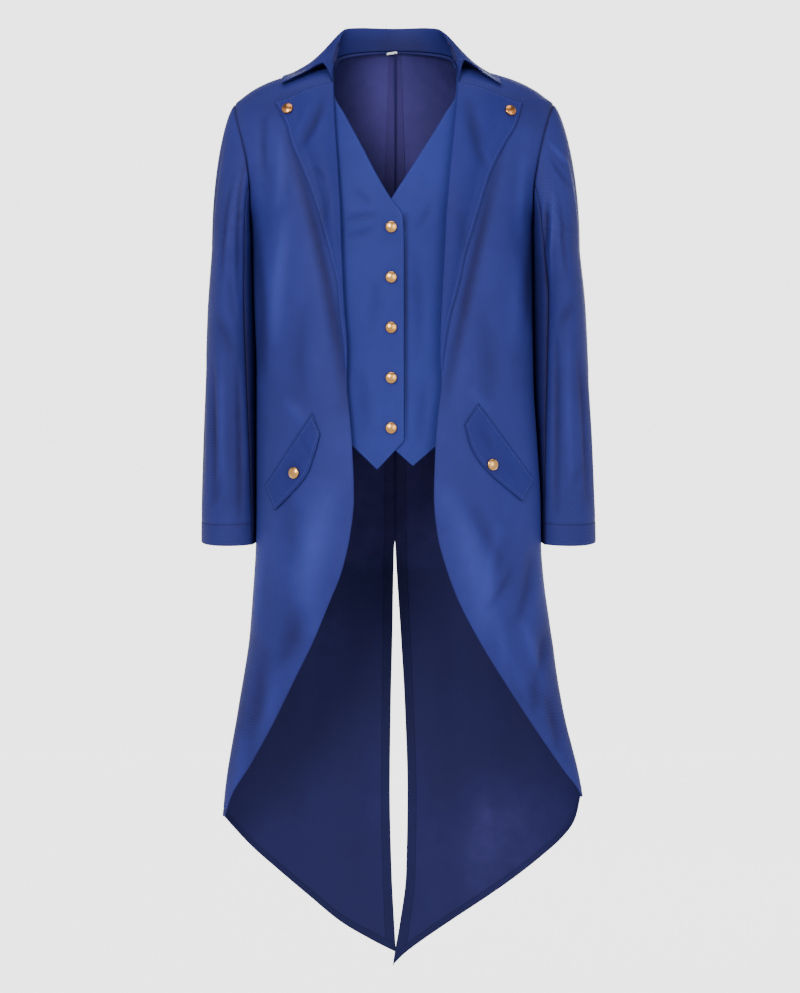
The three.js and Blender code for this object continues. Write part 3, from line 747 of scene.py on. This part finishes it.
def waistcoatSurface(name):
    side = sideOf[name]
    lowZ = waistcoatFit["lowZ"]
    armShare, strapStart, strapEnd, armEnd = (
        waistcoatFit[k] for k in ("armShare", "strapStart", "strapEnd", "armEnd")
    )
    low = waistcoatSection(lowZ, name)
    lowInner = angleAt(look(waistcoatEdge, name, lowZ), low)
    hemX, hemZ = zip(*waistcoatHem[name])

    def surface(u, v):
        t = v / armShare
        drop = signed(min(t, 1), 1.3)
        below = max(0, (v - armShare) / (1 - armShare))
        spread = signed(u, waistcoatFit["spread"])
        lowest = aroundFront(side, mixed(lowInner, 0, spread), lowZ, low).x * side
        hem = float(np.interp(lowest, hemX, hemZ))

        def rowZ(top):
            return mixed(top, armEnd, drop) if t < 1 else mixed(armEnd, hem, below)

        z = rowZ(mixed(strapStart, strapEnd, u))
        innerZ = rowZ(strapStart) if t < 1 else z
        outerZ = rowZ(strapEnd) if t < 1 else z
        inner = angleAt(look(waistcoatEdge, name, innerZ), waistcoatSection(innerZ, name))
        outer = 0
        if t < 1:
            outer = angleAt(look(waistcoatArm, name, outerZ), waistcoatSection(outerZ, name))
        return aroundFront(side, mixed(inner, outer, spread), z, waistcoatSection(z, name))

    return surface


# A smooth line through a few points, at a share of its corners
def through(points, share):
    place = clamp(share, 0, 1) * (len(points) - 1)
    i = min(int(place), len(points) - 2)
    t = place - i
    p = [Vector(points[clamp(k, 0, len(points) - 1)]) for k in range(i - 1, i + 3)]
    return 0.5 * (
        2 * p[1] + (p[2] - p[0]) * t + (2 * p[0] - 5 * p[1] + 4 * p[2] - p[3]) * t**2
        + (3 * p[1] - p[0] - 3 * p[2] + p[3]) * t**3
    )


flaps = {
    "right": {
        "sewn": ((-176, -580), (-111, -482)),
        "free": ((-162, -614), (-122, -572), (-108.5, -541), (-100, -511)),
    },
    "left": {
        "sewn": ((189, -572), (112.5, -469)),
        "free": ((172, -602), (126, -563), (104, -533), (93.5, -498)),
    },
}


def flapSurface(name):
    sewn, free = flaps[name]["sewn"], flaps[name]["free"]

    def surface(u, v):
        flat = Vector(sewn[0]).lerp(Vector(sewn[1]), u).lerp(through(free, u), v)
        lift = clothThick + flapGap + 0.6 * v
        return onFront(flat.x, flat.y) + frontNormal(flat.x, flat.y) * lift

    return surface


collarLines = {
    "roll": table("part x y z", """
        -1 -99 -36 0
        -0.85 -84 -12 5
        -0.7 -80 9 26
        -0.55 -74 26 49
        -0.4 -66 41 57
        -0.2 -38 57 60
        0 0 64 60
        0.2 34 57 60
        0.4 57 42 57
        0.55 67 27 49
        0.7 78 9 26
        0.85 84 -12 7
        1 95 -36 4
    """),
    "edge": table("part x y z", """
        -1 -156 -43 -29
        -0.85 -155 -16 -17
        -0.7 -147 8 -11
        -0.55 -127 27 -8
        -0.4 -95 51 -8
        -0.2 -55 73 1
        0 0 80 6
        0.2 53 73 1
        0.4 90 52 -6
        0.55 119 29 -7
        0.7 135 9 -11
        0.85 143 -16 -18
        1 146 -43 -31
    """),
}


def collarLine(line, share):
    return Vector([look(collarLines[line], k, share, "part") for k in "xyz"])


def neckSeam(share):
    name = "right" if share < 0 else "left"
    part = abs(share)
    if part < neckPointShare:
        return backTop(name, neckShare * part / neckPointShare) + Vector((0, 0, layerGap))
    z = neck["notchZ"] * ((part - neckPointShare) / (1 - neckPointShare)) ** 1.2
    x = sideOf[name] * look(frontEdge, name, z)
    return onFront(x, z) + frontNormal(x, z - 1) * layerGap


standShare = 0.35


def collarSurface(u, v):
    share = 2 * u - 1
    seam, roll, edge = neckSeam(share), collarLine("roll", share), collarLine("edge", share)
    nearNotch = smoothStep(abs(share), 0.6, 1)
    outward = (edge - roll) * Vector((1, 1, 0))
    outward.normalize()
    if v < standShare:
        up = seam + Vector((0, 0, mixed(16, 8, nearNotch)))
        beforeRoll = roll - outward * mixed(4.5, 3, nearNotch)
        return bezier(seam, up, beforeRoll, roll, v / standShare)
    afterRoll = roll + outward * mixed(8, 9, nearNotch)
    beforeEdge = edge.lerp(roll, 0.45) - Vector((0, 0, mixed(4, 2, nearNotch)))
    return bezier(roll, afterRoll, beforeEdge, edge, (v - standShare) / (1 - standShare))


# Closer grid lines beside each kind of worked edge, in mm from it
nearEdge = {
    "seam": (0.7, 1.6, 3.0),
    "tuck": (0.7, 1.6, 3.0),
    "free": (0.5, 1.1, 2.0),
    "hem": (0.5, 1.1, 2.0, 8.6, 9.4, 10.0, 10.7, 11.6),
    "vent": (0.5, 1.1, 2.0, 5.8, 6.5, 7.0, 7.6, 8.4),
    "cuff": (0.5, 1.1, 2.0, 27.2, 28.3, 29.0, 29.8, 30.8),
}
hemDeep = {"hem": 10.0, "vent": 7.0, "cuff": 29.0}
flange = {
    "deep": 4.5, "out": 0.7, "tuckDeep": 2.0, "tuckOut": 4.5, "ventDeep": 0.8, "ventOut": 0.05,
    "ventFrom": -655.0,
}
wall = {"thick": 1.3, "rim": 0.35}


def gridLines(length, start, end, finer=1.0, extra=()):
    count = max(4, round(length / spacing * finer))
    lines = set(np.linspace(0, 1, count + 1)) | set(extra)
    for mark in nearEdge.get(start, ()):
        lines.add(mark / length)
    for mark in nearEdge.get(end, ()):
        lines.add(1 - mark / length)
    kept = [0.0]
    for line in sorted(lines):
        if line - kept[-1] > 0.35 / length:
            kept.append(line)
    kept[-1] = 1.0
    return kept


def lengths(points, axis):
    steps = np.linalg.norm(np.diff(points, axis=axis), axis=2)
    pad = [(0, 0), (0, 0)]
    pad[axis] = (1, 0)
    return np.cumsum(np.pad(steps, pad), axis=axis)


# Relief and painted shade of a worked edge, by the distance from it
def edgeWork(kind, away, z):
    if kind == "none":
        return 0 * away, 0 * away
    seam = np.exp(-((away / 1.6) ** 2))
    rim = -0.5 * np.clip(1 - away / 1.3, 0, 1) ** 2
    if kind in ("seam", "tuck"):
        return -0.6 * seam, 0.5 * np.exp(-((away / 2.6) ** 2))
    if kind == "free":
        return rim, 0.25 * np.exp(-((away / 1.6) ** 2))
    deep = hemDeep[kind]
    groove = np.exp(-(((away - deep) / 0.8) ** 2))
    band = np.clip((deep + 1 - away) / 1.6, 0, 1)
    relief, shade = 0.3 * band - 0.5 * groove + rim, 0.1 * band + 0.45 * groove
    if kind == "vent":
        low = np.clip((flange["ventFrom"] - z) / 12, 0, 1)
        return mixed(-0.6 * seam, relief, low), mixed(0.5 * seam, shade, low)
    return relief, shade


# Folds, a row for each: its ends, half width, depth and bend, then its painted shade, lip and taper.
# A ridge has a depth below nought, and - leaves the usual value
foldColumns = "x0 z0 x1 z1 wide deep bend dark lip taper".split()


def folds(text):
    rows = []
    for line in text.strip().splitlines():
        cells = zip(foldColumns, line.split())
        row = {"lip": 0.35, "taper": 0.7, **{key: float(cell) for key, cell in cells if cell != "-"}}
        rows.append({"dark": row["deep"] * 0.16, **row})
    return rows


# Soft troughs and ridges, each along a bent line, with painted shade in the troughs and painted light on the
# ridges
def foldWork(across, down, rows):
    relief, shade = np.zeros_like(across), np.zeros_like(across)
    for fold in rows:
        x0, z0, x1, z1, wide, deep, bend, dark, lipShare, taper = (fold[key] for key in foldColumns)
        span = math.hypot(x1 - x0, z1 - z0)
        ux, uz = (x1 - x0) / span, (z1 - z0) / span
        along = ((across - x0) * ux + (down - z0) * uz) / span
        off = (across - x0) * -uz + (down - z0) * ux
        off = off - bend * 4 * along * (1 - along)
        reach = np.sin(np.pi * np.clip(along, 0, 1)) ** taper
        bell = np.exp(-((off / wide) ** 2))
        lip = np.exp(-(((off - wide * 1.5) / (wide * 1.2)) ** 2)) * lipShare
        relief -= deep * reach * (bell - lip)
        shade += dark * reach * (bell - lip * 0.5)
    return relief, shade


# One more line of the grid beyond an edge, turned in through the seam
def turnIn(net, side, deep, past):
    axis, last = (1 if side < 2 else 0), (-1 if side % 2 else 0)
    edge = np.take(net["laid"], last, axis)
    out = edge - np.take(net["laid"], -2 if last else 1, axis)
    out /= np.maximum(np.linalg.norm(out, axis=1, keepdims=True), 1e-9)
    folded = edge + out * past[:, None] - np.take(net["normal"], last, axis) * deep[:, None]
    made = {}
    for key, values in net.items():
        line = np.expand_dims(folded if key == "laid" else np.take(values, last, axis), axis)
        made[key] = np.concatenate([values, line] if last else [line, values], axis)
    return made


def netObject(name, net, flipped, finishes, thick, rim):
    rows, columns = net["laid"].shape[:2]
    mesh = bmesh.new()
    uv = mesh.loops.layers.uv.new("cloth")
    tones = {key: mesh.verts.layers.float.new(key) for key in ("shade", "inner")}
    bmesh.ops.create_grid(mesh, x_segments=columns - 1, y_segments=rows - 1, size=0.5)
    cells = {}
    for vert in mesh.verts:
        i = round((vert.co.x + 0.5) * (columns - 1))
        j = round((0.5 - vert.co.y) * (rows - 1))
        cells[vert] = (j, i)
        for key, layer in tones.items():
            vert[layer] = float(net[key][j, i])
        vert.co = Vector(net["laid"][j, i]) * mm
    for face in mesh.faces:
        face.smooth = True
        for loop in face.loops:
            loop[uv].uv = net["flat"][cells[loop.vert]] * mm
    if not flipped:
        bmesh.ops.reverse_faces(mesh, faces=mesh.faces[:])
    piece = meshPiece(name, mesh, *finishes)
    shell = piece.modifiers.new("wall", "SOLIDIFY")
    shell.thickness = thick * mm
    shell.offset = -1
    shell.use_quality_normals = True
    shell.material_offset = len(finishes) - 1
    if rim:
        rounded = piece.modifiers.new("rim", "BEVEL")
        rounded.width = rim * mm
        rounded.segments = 2
        rounded.limit_method = "ANGLE"
        rounded.angle_limit = math.radians(50)
    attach(piece, "root")
    return piece


def flatCoords(us, points):
    return points[:, :, 0], points[:, :, 2]


def clothPiece(name, surface, size, edges, rows=(), **more):
    us = gridLines(size[0], edges[0], edges[1], more.get("finer", 1), more.get("lines", ()))
    vs = gridLines(size[1], edges[2], edges[3], more.get("finer", 1))
    points = np.array([[surface(u, v) for u in us] for v in vs], dtype=float)
    normals = np.cross(np.gradient(points, axis=1), np.gradient(points, axis=0))
    normals /= np.maximum(np.linalg.norm(normals, axis=2, keepdims=True), 1e-9)
    flipped = float(np.dot(normals[len(vs) // 2, len(us) // 2], more.get("facing", (0, -1, 0)))) < 0
    normals = -normals if flipped else normals
    fromStart, fromTop = lengths(points, 1), lengths(points, 0)
    away = (fromStart, fromStart[:, -1:] - fromStart, fromTop, fromTop[-1:, :] - fromTop)
    across, down = more.get("coords", flatCoords)(np.array(us), points)
    relief, shade = foldWork(across, down, rows)
    # The inside gets a little of the folds' painted shade and its own painted light and shade
    inner = shade * 0.15 + foldWork(across, down, more.get("inner", ()))[1]
    # A whole piece may take extra painted shade over all
    shade = shade + more.get("tone", 0)
    for kind, distance in zip(edges, away):
        worked, darker = edgeWork(kind, distance, points[:, :, 2])
        relief, shade = relief + worked, shade + darker
    net = {
        "laid": points + normals * relief[:, :, None], "normal": normals, "shade": shade,
        "inner": inner,
        "flat": np.dstack((fromStart, -fromTop)),
    }
    made = {"net": net, "away": away, "us": us, "vs": vs, "points": points, "flipped": flipped}
    for side, kind in enumerate(edges):
        if kind in ("seam", "vent", "tuck"):
            line = np.take(net["laid"], -1 if side % 2 else 0, 1 if side < 2 else 0)
            keys = ("tuckDeep", "tuckOut") if kind == "tuck" else ("deep", "out")
            deep, past = (np.full(len(line), flange[key]) for key in keys)
            if kind == "vent":
                low = np.clip((flange["ventFrom"] - line[:, 2]) / 12, 0, 1)
                deep, past = mixed(deep, flange["ventDeep"], low), mixed(past, flange["ventOut"], low)
            net = turnIn(net, side, deep, past)
    thick = more.get("thick", wall["thick"])
    piece = netObject(name, net, flipped, more["finishes"], thick, wall["rim"])
    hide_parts(more["node"])
    diagonals = points[1:, 1:] - points[:-1, :-1], points[1:, :-1] - points[:-1, 1:]
    wide, long = fromStart[:, -1].max(), fromTop[-1, :].max()
    area = min(np.linalg.norm(np.cross(*diagonals), axis=2).sum() / 2, wide * long)
    if wide > 20 and long > 20:
        wide * mm
        long * mm
        area * mm * mm
    print(f"{name}: cut {wide:.0f} x {long:.0f} mm, {area / 1e6:.4f} square metres")
    return made


# Turned-in allowance that shows inside: rows and columns of its panel, just within the wall
def allowance(name, made, rows, columns):
    part = {key: values[rows, columns] for key, values in made["net"].items()}
    inside = part["normal"] * (wall["thick"] + 0.03)
    part = dict(part, laid=part["laid"] - inside)
    piece = netObject(name, part, made["flipped"], (cloths["hem"],), 0.5, 0)


both = (cloths["coat"], cloths["shadedInside"])
turnedBoth = (cloths["turned"], cloths["shadedInside"])

# Across and up from the wearer's neck, as seen from the front
frontFolds = {
    "right": folds("""
        -150 -96 -65 -492 8 3.2 12 0.6 0
        -158 -100 -160 -208 7 -1.8 3
        -178 -72 -176 -165 6 2 -3
        -146 -210 -161 -395 9 -2.2 -5 -0.4
        -190 -225 -181 -440 8 0.8 4 0.5
        -122 -330 -128 -468 13 1.6 -4
        -152 -462 -122 -500 8 -1.4 2
        -146 -590 -143 -690 13 2.2 3 0.25
        -126 -735 -166 -838 17 2.6 5 0.4
        -82 -570 -116 -790 20 -2.2 -14 -0.55
        -178 -640 -190 -790 8 -2.2 -3 -0.35
        -180 -790 -196 -930 12 2.2 4 0.35
        -210 -915 -221 -1012 8 -1.8 3
        -163 -845 -190 -930 9 -1.2 4
    """),
    "left": folds("""
        148 -112 63 -488 8 3.2 -2 0.6 0
        177 -130 172 -248 8 -2 -3
        188 -226 184 -365 7 0.6 -3 0.5
        163 -262 158 -400 11 -1.5 4
        114 -340 128 -470 14 1.6 6
        100 -448 128 -486 8 -1.3 2
        56 -570 128 -800 20 -2.4 16 -0.55
        96 -600 146 -696 9 1.8 4
        144 -630 126 -735 8 -1.8 -4
        186 -668 166 -775 8 2.8 4 0.4
        122 -752 162 -686 6 1.8 -3
        172 -760 199 -864 8 -2.2 5 -0.4
        209 -772 191 -900 8 2.4 -5 0.4
        140 -755 172 -872 9 -1.8 -5
        205 -860 226 -950 7 2 3
        150 -800 176 -880 6 1.5 -4
    """),
}
backFolds = {
    "right": folds("""
        -178 -100 -188 -300 9 3 5
        -150 -92 -140 -230 10 -1.8 -4
        -50 -310 -112 -452 15 2.6 -9
        -132 -330 -166 -442 11 1.7 -5
        -178 -470 -120 -512 10 1.6 5
        -30 -395 -70 -520 11 -1.6 5
        -52 -640 -72 -1168 20 3.2 12
        -96 -600 -118 -1050 17 -1.8 -8
        -132 -590 -156 -1080 20 3 -11
        -192 -630 -208 -1010 14 2.4 5
        -110 -930 -178 -1090 10 1.8 6
        -26 -900 -40 -1180 10 -1 -4
    """),
    "left": folds("""
        168 -104 180 -288 9 3 -4
        140 -88 132 -240 10 -1.8 5
        62 -296 110 -462 15 2.6 10
        140 -316 164 -436 11 1.6 6
        176 -480 124 -508 10 1.4 -4
        36 -410 62 -530 11 -1.6 -5
        58 -660 88 -1180 20 3.2 -14
        104 -590 130 -1060 17 -1.8 9
        140 -610 172 -1090 20 2.9 10
        204 -640 230 -1020 14 2.4 -6
        120 -950 190 -1110 10 1.8 -6
        30 -880 52 -1190 10 -1 4
    """),
}

# Broad painted shade and light without relief: painted shade on the shoulders and low skirt, painted light on
# the lining by the neck
broadPaintedShade = {
    "front": folds("""
        -235 -60 235 -60 34 0 0 0.3 0 0.1
        -255 -1000 -255 -700 62 0 0 0.4 0
        270 -1000 270 -700 62 0 0 0.4 0
    """),
    "lining": folds("""
        0 90 0 -330 95 0 0 -0.75 0 0.5
        0 -420 0 -700 150 0 0 -0.45 0 0.5
        90 -1000 160 -1160 90 0 0 -0.22 0
    """),
}

backSize = (260, 1260)
for name in sideOf:
    clothPiece(
        f"front_{name}", coatFront(name), (200, 1050), ("free", "seam", "seam", "hem"),
        frontFolds[name] + broadPaintedShade["front"], finishes=both, slot="coat_cloth",
        node=f"coat_front_{name}",
    )
    back = clothPiece(
        f"back_{name}", coatBack(name), backSize, ("vent", "seam", "seam", "hem"),
        backFolds[name], facing=(0, 1, 0), finishes=both, slot="coat_cloth",
        node=f"coat_back_{name}", inner=broadPaintedShade["lining"],
    )
    hemRow = int(np.searchsorted(back["vs"], 1 - hemDeep["hem"] / backSize[1] - 1e-6))
    seamColumn = int(np.searchsorted(back["us"], hemDeep["vent"] / backSize[0] + 1e-6))
    allowance(f"hem_{name}", back, slice(hemRow, None), slice(0, None))
    allowance(f"seam_{name}", back, slice(0, hemRow + 1), slice(0, seamColumn))

# Across is the turn round the sleeve from its outside, about a millimetre a degree
sleeveFolds = {
    "right": folds("""
        64 -346 122 -404 11 1.6 6
        112 -292 128 -352 8 1.4 -4
        122 -120 134 -330 8 1.6 3 0.35
        40 -100 18 -330 9 2.2 4
        98 -150 86 -310 8 2 -3
        62 -400 70 -615 9 2.4 5 0.35
        94 -395 98 -600 10 -1.8 -3
        128 -410 124 -640 7 2.2 3
        10 -400 24 -600 12 1.8 5
        96 -560 66 -606 9 1 3
        -66 -322 -16 -408 9 2.6 3
        -112 -336 -60 -392 8 2.4 -4
        -50 -120 -72 -300 10 2.4 3
        -84 -430 -70 -610 10 2 -5
    """),
    "left": folds("""
        78 -330 126 -372 11 1.6 5
        128 -190 150 -262 5 2.8 3 0.5
        104 -176 144 -320 5 -2 6
        86 -108 40 -142 5 -1.8 3 -0.5
        96 -128 52 -176 6 1.8 3
        36 -120 22 -320 9 2.2 -4
        92 -180 98 -300 8 2 3
        72 -395 60 -610 9 2.4 -5 0.35
        100 -370 96 -590 10 -1.8 4
        130 -360 128 -630 7 2.2 -3
        14 -420 4 -610 12 1.8 -5
        66 -548 100 -590 9 1 3
        -60 -312 -12 -396 9 2.6 -3
        -118 -326 -62 -378 8 2.4 4
        -55 -126 -68 -310 10 2.4 4
        -80 -440 -92 -600 10 2 5
    """),
    # Painted shade over the underside panel, where it faces the body, with no relief
    "under": folds("""
        198 -262 198 -1000 90 0 0 0.45 0 0.4
    """),
}

for name, side in sideOf.items():
    tube = sleeveSurface(name)
    start = sleeve["under"] - 0.02
    spans = {"top": (-start, start, side, (280, 640)), "under": (start, 360 - start, -side, (95, 520))}
    for part, (low, high, faced, size) in spans.items():
        def turns(us, points, low=low, high=high):
            return np.broadcast_to(mixed(low, high, us)[None, :], points.shape[:2]) * 1.1, points[:, :, 2]

        clothPiece(
            f"sleeve_{part}_panel_{name}", lambda u, v, low=low, high=high: tube(mixed(low, high, u), v),
            size, ("seam", "seam", "tuck", "cuff"), sleeveFolds[name if part == "top" else "under"],
            coords=turns, facing=(faced, 0, 0), finishes=both, slot="coat_cloth",
            # The sleeves take extra painted shade over all
            node=f"sleeve_{part}_{name}", tone=0.15,
        )

lapelFolds = {
    "right": folds("""
        -96 -52 -131 -128 6 2 4 0.5
        -116 -60 -136 -112 4 -1 0
        -92 -180 -100 -268 8 1.2 -2
        -112 -150 -92 -172 5 1 0
    """),
    "left": folds("""
        99 -50 122 -152 9 2 -3 0.5
        114 -118 132 -150 3.5 -1.2 2 -0.3
        88 -210 96 -290 8 1.2 2
    """),
}
waistcoatFolds = {
    "right": folds("""
        -70 -225 -20 -214 5 1.6 2
        -66 -246 -24 -232 5 1.2 -2
        -58 -180 -30 -205 5 1.2 2
        -48 -420 -40 -520 9 1.2 3
        -24 -300 -30 -380 9 1 2
    """),
    # On the left, the first row paints a shadow line where the right side laps over, with no relief
    "left": folds("""
        14 -214 14 -520 3.5 0 0 0.8 0 0.2
        26 -260 34 -410 8 1.4 3
        44 -430 34 -530 8 1.2 -2
        50 -200 28 -236 6 1.2 2
    """),
}
flapFolds = {
    "right": folds("""
        -150 -570 -120 -540 6 0.9 3
        -128 -512 -112 -548 5 0.8 0
    """),
    "left": folds("""
        112 -500 132 -536 6 0.9 3
        150 -546 170 -580 5 0.8 0
    """),
}
# The first row paints shade along the collar stand, with no relief
collarFolds = folds("""
    -95 30 95 30 26 0 0 0.45 0 0.3
    -150 -14 -100 -8 5 1 0
    96 -10 140 -16 5 0.9 0
""")
made = {}
for name in sideOf:
    made[f"lapel_{name}"] = clothPiece(
        f"lapel_panel_{name}", lapelSurface(name), (100, 400), ("none", "free", "free", "none"),
        lapelFolds[name], finishes=turnedBoth, slot="turned_cloth", node=f"lapel_{name}",
        held="laid", finer=1.3,
    )
    made[f"waistcoat_{name}"] = clothPiece(
        f"waistcoat_panel_{name}", waistcoatSurface(name), (230, 560),
        ("free", "none", "none", "free"), waistcoatFolds[name],
        finishes=(cloths["waistcoat"], cloths["shadedInside"]), slot="waistcoat_cloth",
        node=f"waistcoat_{name}", lines=np.linspace(0.12, 0.3, 25),
    )
    made[f"flap_{name}"] = clothPiece(
        f"flap_{name}", flapSurface(name), (120, 40), ("free", "free", "free", "free"),
        flapFolds[name], finishes=turnedBoth, slot="turned_cloth", node=f"pocket_flap_{name}",
        finer=1.6, held="laid",
    )
made["collar"] = clothPiece(
    "collar_turned", collarSurface, (430, 105), ("free", "free", "none", "free"), collarFolds,
    facing=(0, 1, 1), finishes=turnedBoth, slot="turned_cloth", node="collar", thick=1.8,
    finer=1.3, held="stretched",
)
print("cloth made")

# Sewing: small rounded stitches along a line a few millimetres within a worked edge
stitch = {
    "pitch": 3.2, "half": 1.1, "thick": 0.32, "lift": 0.02,
    "lapel": 4.0, "flap": 5.0, "waistcoat": 3.0, "collar": 4.0,
}


def lineWithin(name, edge, distance, low, high):
    net, away = made[name]["net"], made[name]["away"][edge]
    count = away.shape[0] if edge < 2 else away.shape[1]
    picked = []
    for k in range(int(low * (count - 1)), int(high * (count - 1)) + 1):
        reach, place, normal = (
            (a[k] if edge < 2 else a[:, k]) for a in (away, net["laid"], net["normal"])
        )
        if reach.max() < distance + 1:
            continue
        order = np.argsort(reach)
        at = [np.interp(distance, reach[order], a[order, j]) for a in (place, normal) for j in range(3)]
        picked.append(at)
    return np.array(picked)


def addStitches(name, lines):
    mesh = bmesh.new()
    for line in lines:
        steps = np.linalg.norm(np.diff(line[:, :3], axis=0), axis=1)
        run = np.concatenate([[0], np.cumsum(steps)])
        for at in np.arange(stitch["pitch"] / 2, run[-1], stitch["pitch"]):
            here, ahead = (
                Vector([np.interp(min(at + step, run[-1]), run, line[:, j]) for j in range(3)])
                for step in (-0.4, 0.4)
            )
            normal = Vector([np.interp(at, run, line[:, j]) for j in range(3, 6)]).normalized()
            tangent = (ahead - here).normalized()
            aside = normal.cross(tangent).normalized()
            turn = Matrix((tangent, aside, normal)).transposed().to_4x4()
            size = Matrix.Diagonal((stitch["half"], stitch["thick"], stitch["thick"], 1))
            place = Matrix.Translation(((here + ahead) / 2 + normal * stitch["lift"]) * mm)
            bmesh.ops.create_icosphere(
                mesh, subdivisions=1, radius=1.0, matrix=place @ turn @ size @ Matrix.Scale(mm, 4),
            )
    for face in mesh.faces:
        face.smooth = True
    piece = meshPiece(name, mesh, threadFinish)
    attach(piece, "root")


for name in sideOf:
    addStitches(f"lapel_stitches_{name}", [
        lineWithin(f"lapel_{name}", 1, stitch["lapel"], 0.02, 0.95),
        lineWithin(f"lapel_{name}", 2, stitch["lapel"], 0.3, 0.98),
    ])
    addStitches(f"flap_stitches_{name}", [
        lineWithin(f"flap_{name}", edge, stitch["flap"], 0.04, 0.96) for edge in range(4)
    ])
    addStitches(f"waistcoat_stitches_{name}", [
        lineWithin(f"waistcoat_{name}", 0, stitch["waistcoat"], 0.05, 0.98),
        lineWithin(f"waistcoat_{name}", 3, stitch["waistcoat"], 0.02, 0.75),
    ])
addStitches("collar_stitches", [lineWithin("collar", 3, stitch["collar"], 0.01, 0.99)])
print("stitches made")

buttons = {"radius": 7.8, "high": 5.0, "rimHigh": 3.1, "domeShare": 0.94, "steps": 36}


def buttonProfile():
    r, high, rimHigh, dome = (buttons[k] for k in ("radius", "high", "rimHigh", "domeShare"))
    line = [(0, 0.2), (r * 0.92, 0.2), (r * 0.985, 0.5), (r, 1.1), (r, 1.9), (r * 0.98, 2.6)]
    for out in (1, *(1 - np.linspace(0.12, 1, 8))):
        line.append((r * dome * out, high - (high - rimHigh) * out**2))
    return line


# The way a button faces: the normal of its flat back, turned round
def buttonNormal(source):
    total = Vector((0, 0, 0))
    biggest = max(p.area for p in source.data.polygons)
    for polygon in source.data.polygons:
        if polygon.area > biggest * 0.5:
            total += polygon.normal * polygon.area
    rough = (source.matrix_world.to_3x3() @ total).normalized()
    return rough if rough.y < 0 else -rough


def addButton(name, node):
    low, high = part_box(node)
    centre = (Vector(low) + Vector(high)) / 2
    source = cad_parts[node]
    mesh = spunMesh(buttonProfile(), buttons["steps"])
    normal = buttonNormal(source)
    turn = normal.to_track_quat("Z", "Y").to_matrix().to_4x4()
    lowest = min((source.matrix_world @ v.co).dot(normal) for v in source.data.vertices)
    seat = centre + normal * (lowest - centre.dot(normal))
    bmesh.ops.transform(mesh, matrix=Matrix.Translation(seat) @ turn, verts=mesh.verts[:])
    # Lapel buttons take the darker copy, a painted reflection
    piece = meshPiece(name, mesh, paintedReflectionMetal if "lapel" in node else metal)
    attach(piece, "root")
    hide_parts(node)


for node in sorted(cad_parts):
    if node.startswith("button_"):
        addButton(f"metal_{node}", node)
print("buttons made")

labelPlace = {"x": -4.4, "y": 57.2, "z": 24.6, "wide": 15.0, "high": 3.6, "tilt": 8.0}


def labelSurface(u, v):
    tilt = math.radians(labelPlace["tilt"])
    across, down = labelPlace["wide"] * (u - 0.5), labelPlace["high"] * (v - 0.5)
    return Vector((
        labelPlace["x"] + across * math.cos(tilt) + down * math.sin(tilt),
        labelPlace["y"] - 0.3 * math.sin(math.pi * u),
        labelPlace["z"] + across * math.sin(tilt) - down * math.cos(tilt),
    ))


clothPiece(
    "label_strip", labelSurface, (labelPlace["wide"], labelPlace["high"]),
    ("free", "free", "free", "free"), finishes=(labelFinish,), slot="label_cloth",
    node="neck_label", thick=0.6, finer=4,
)
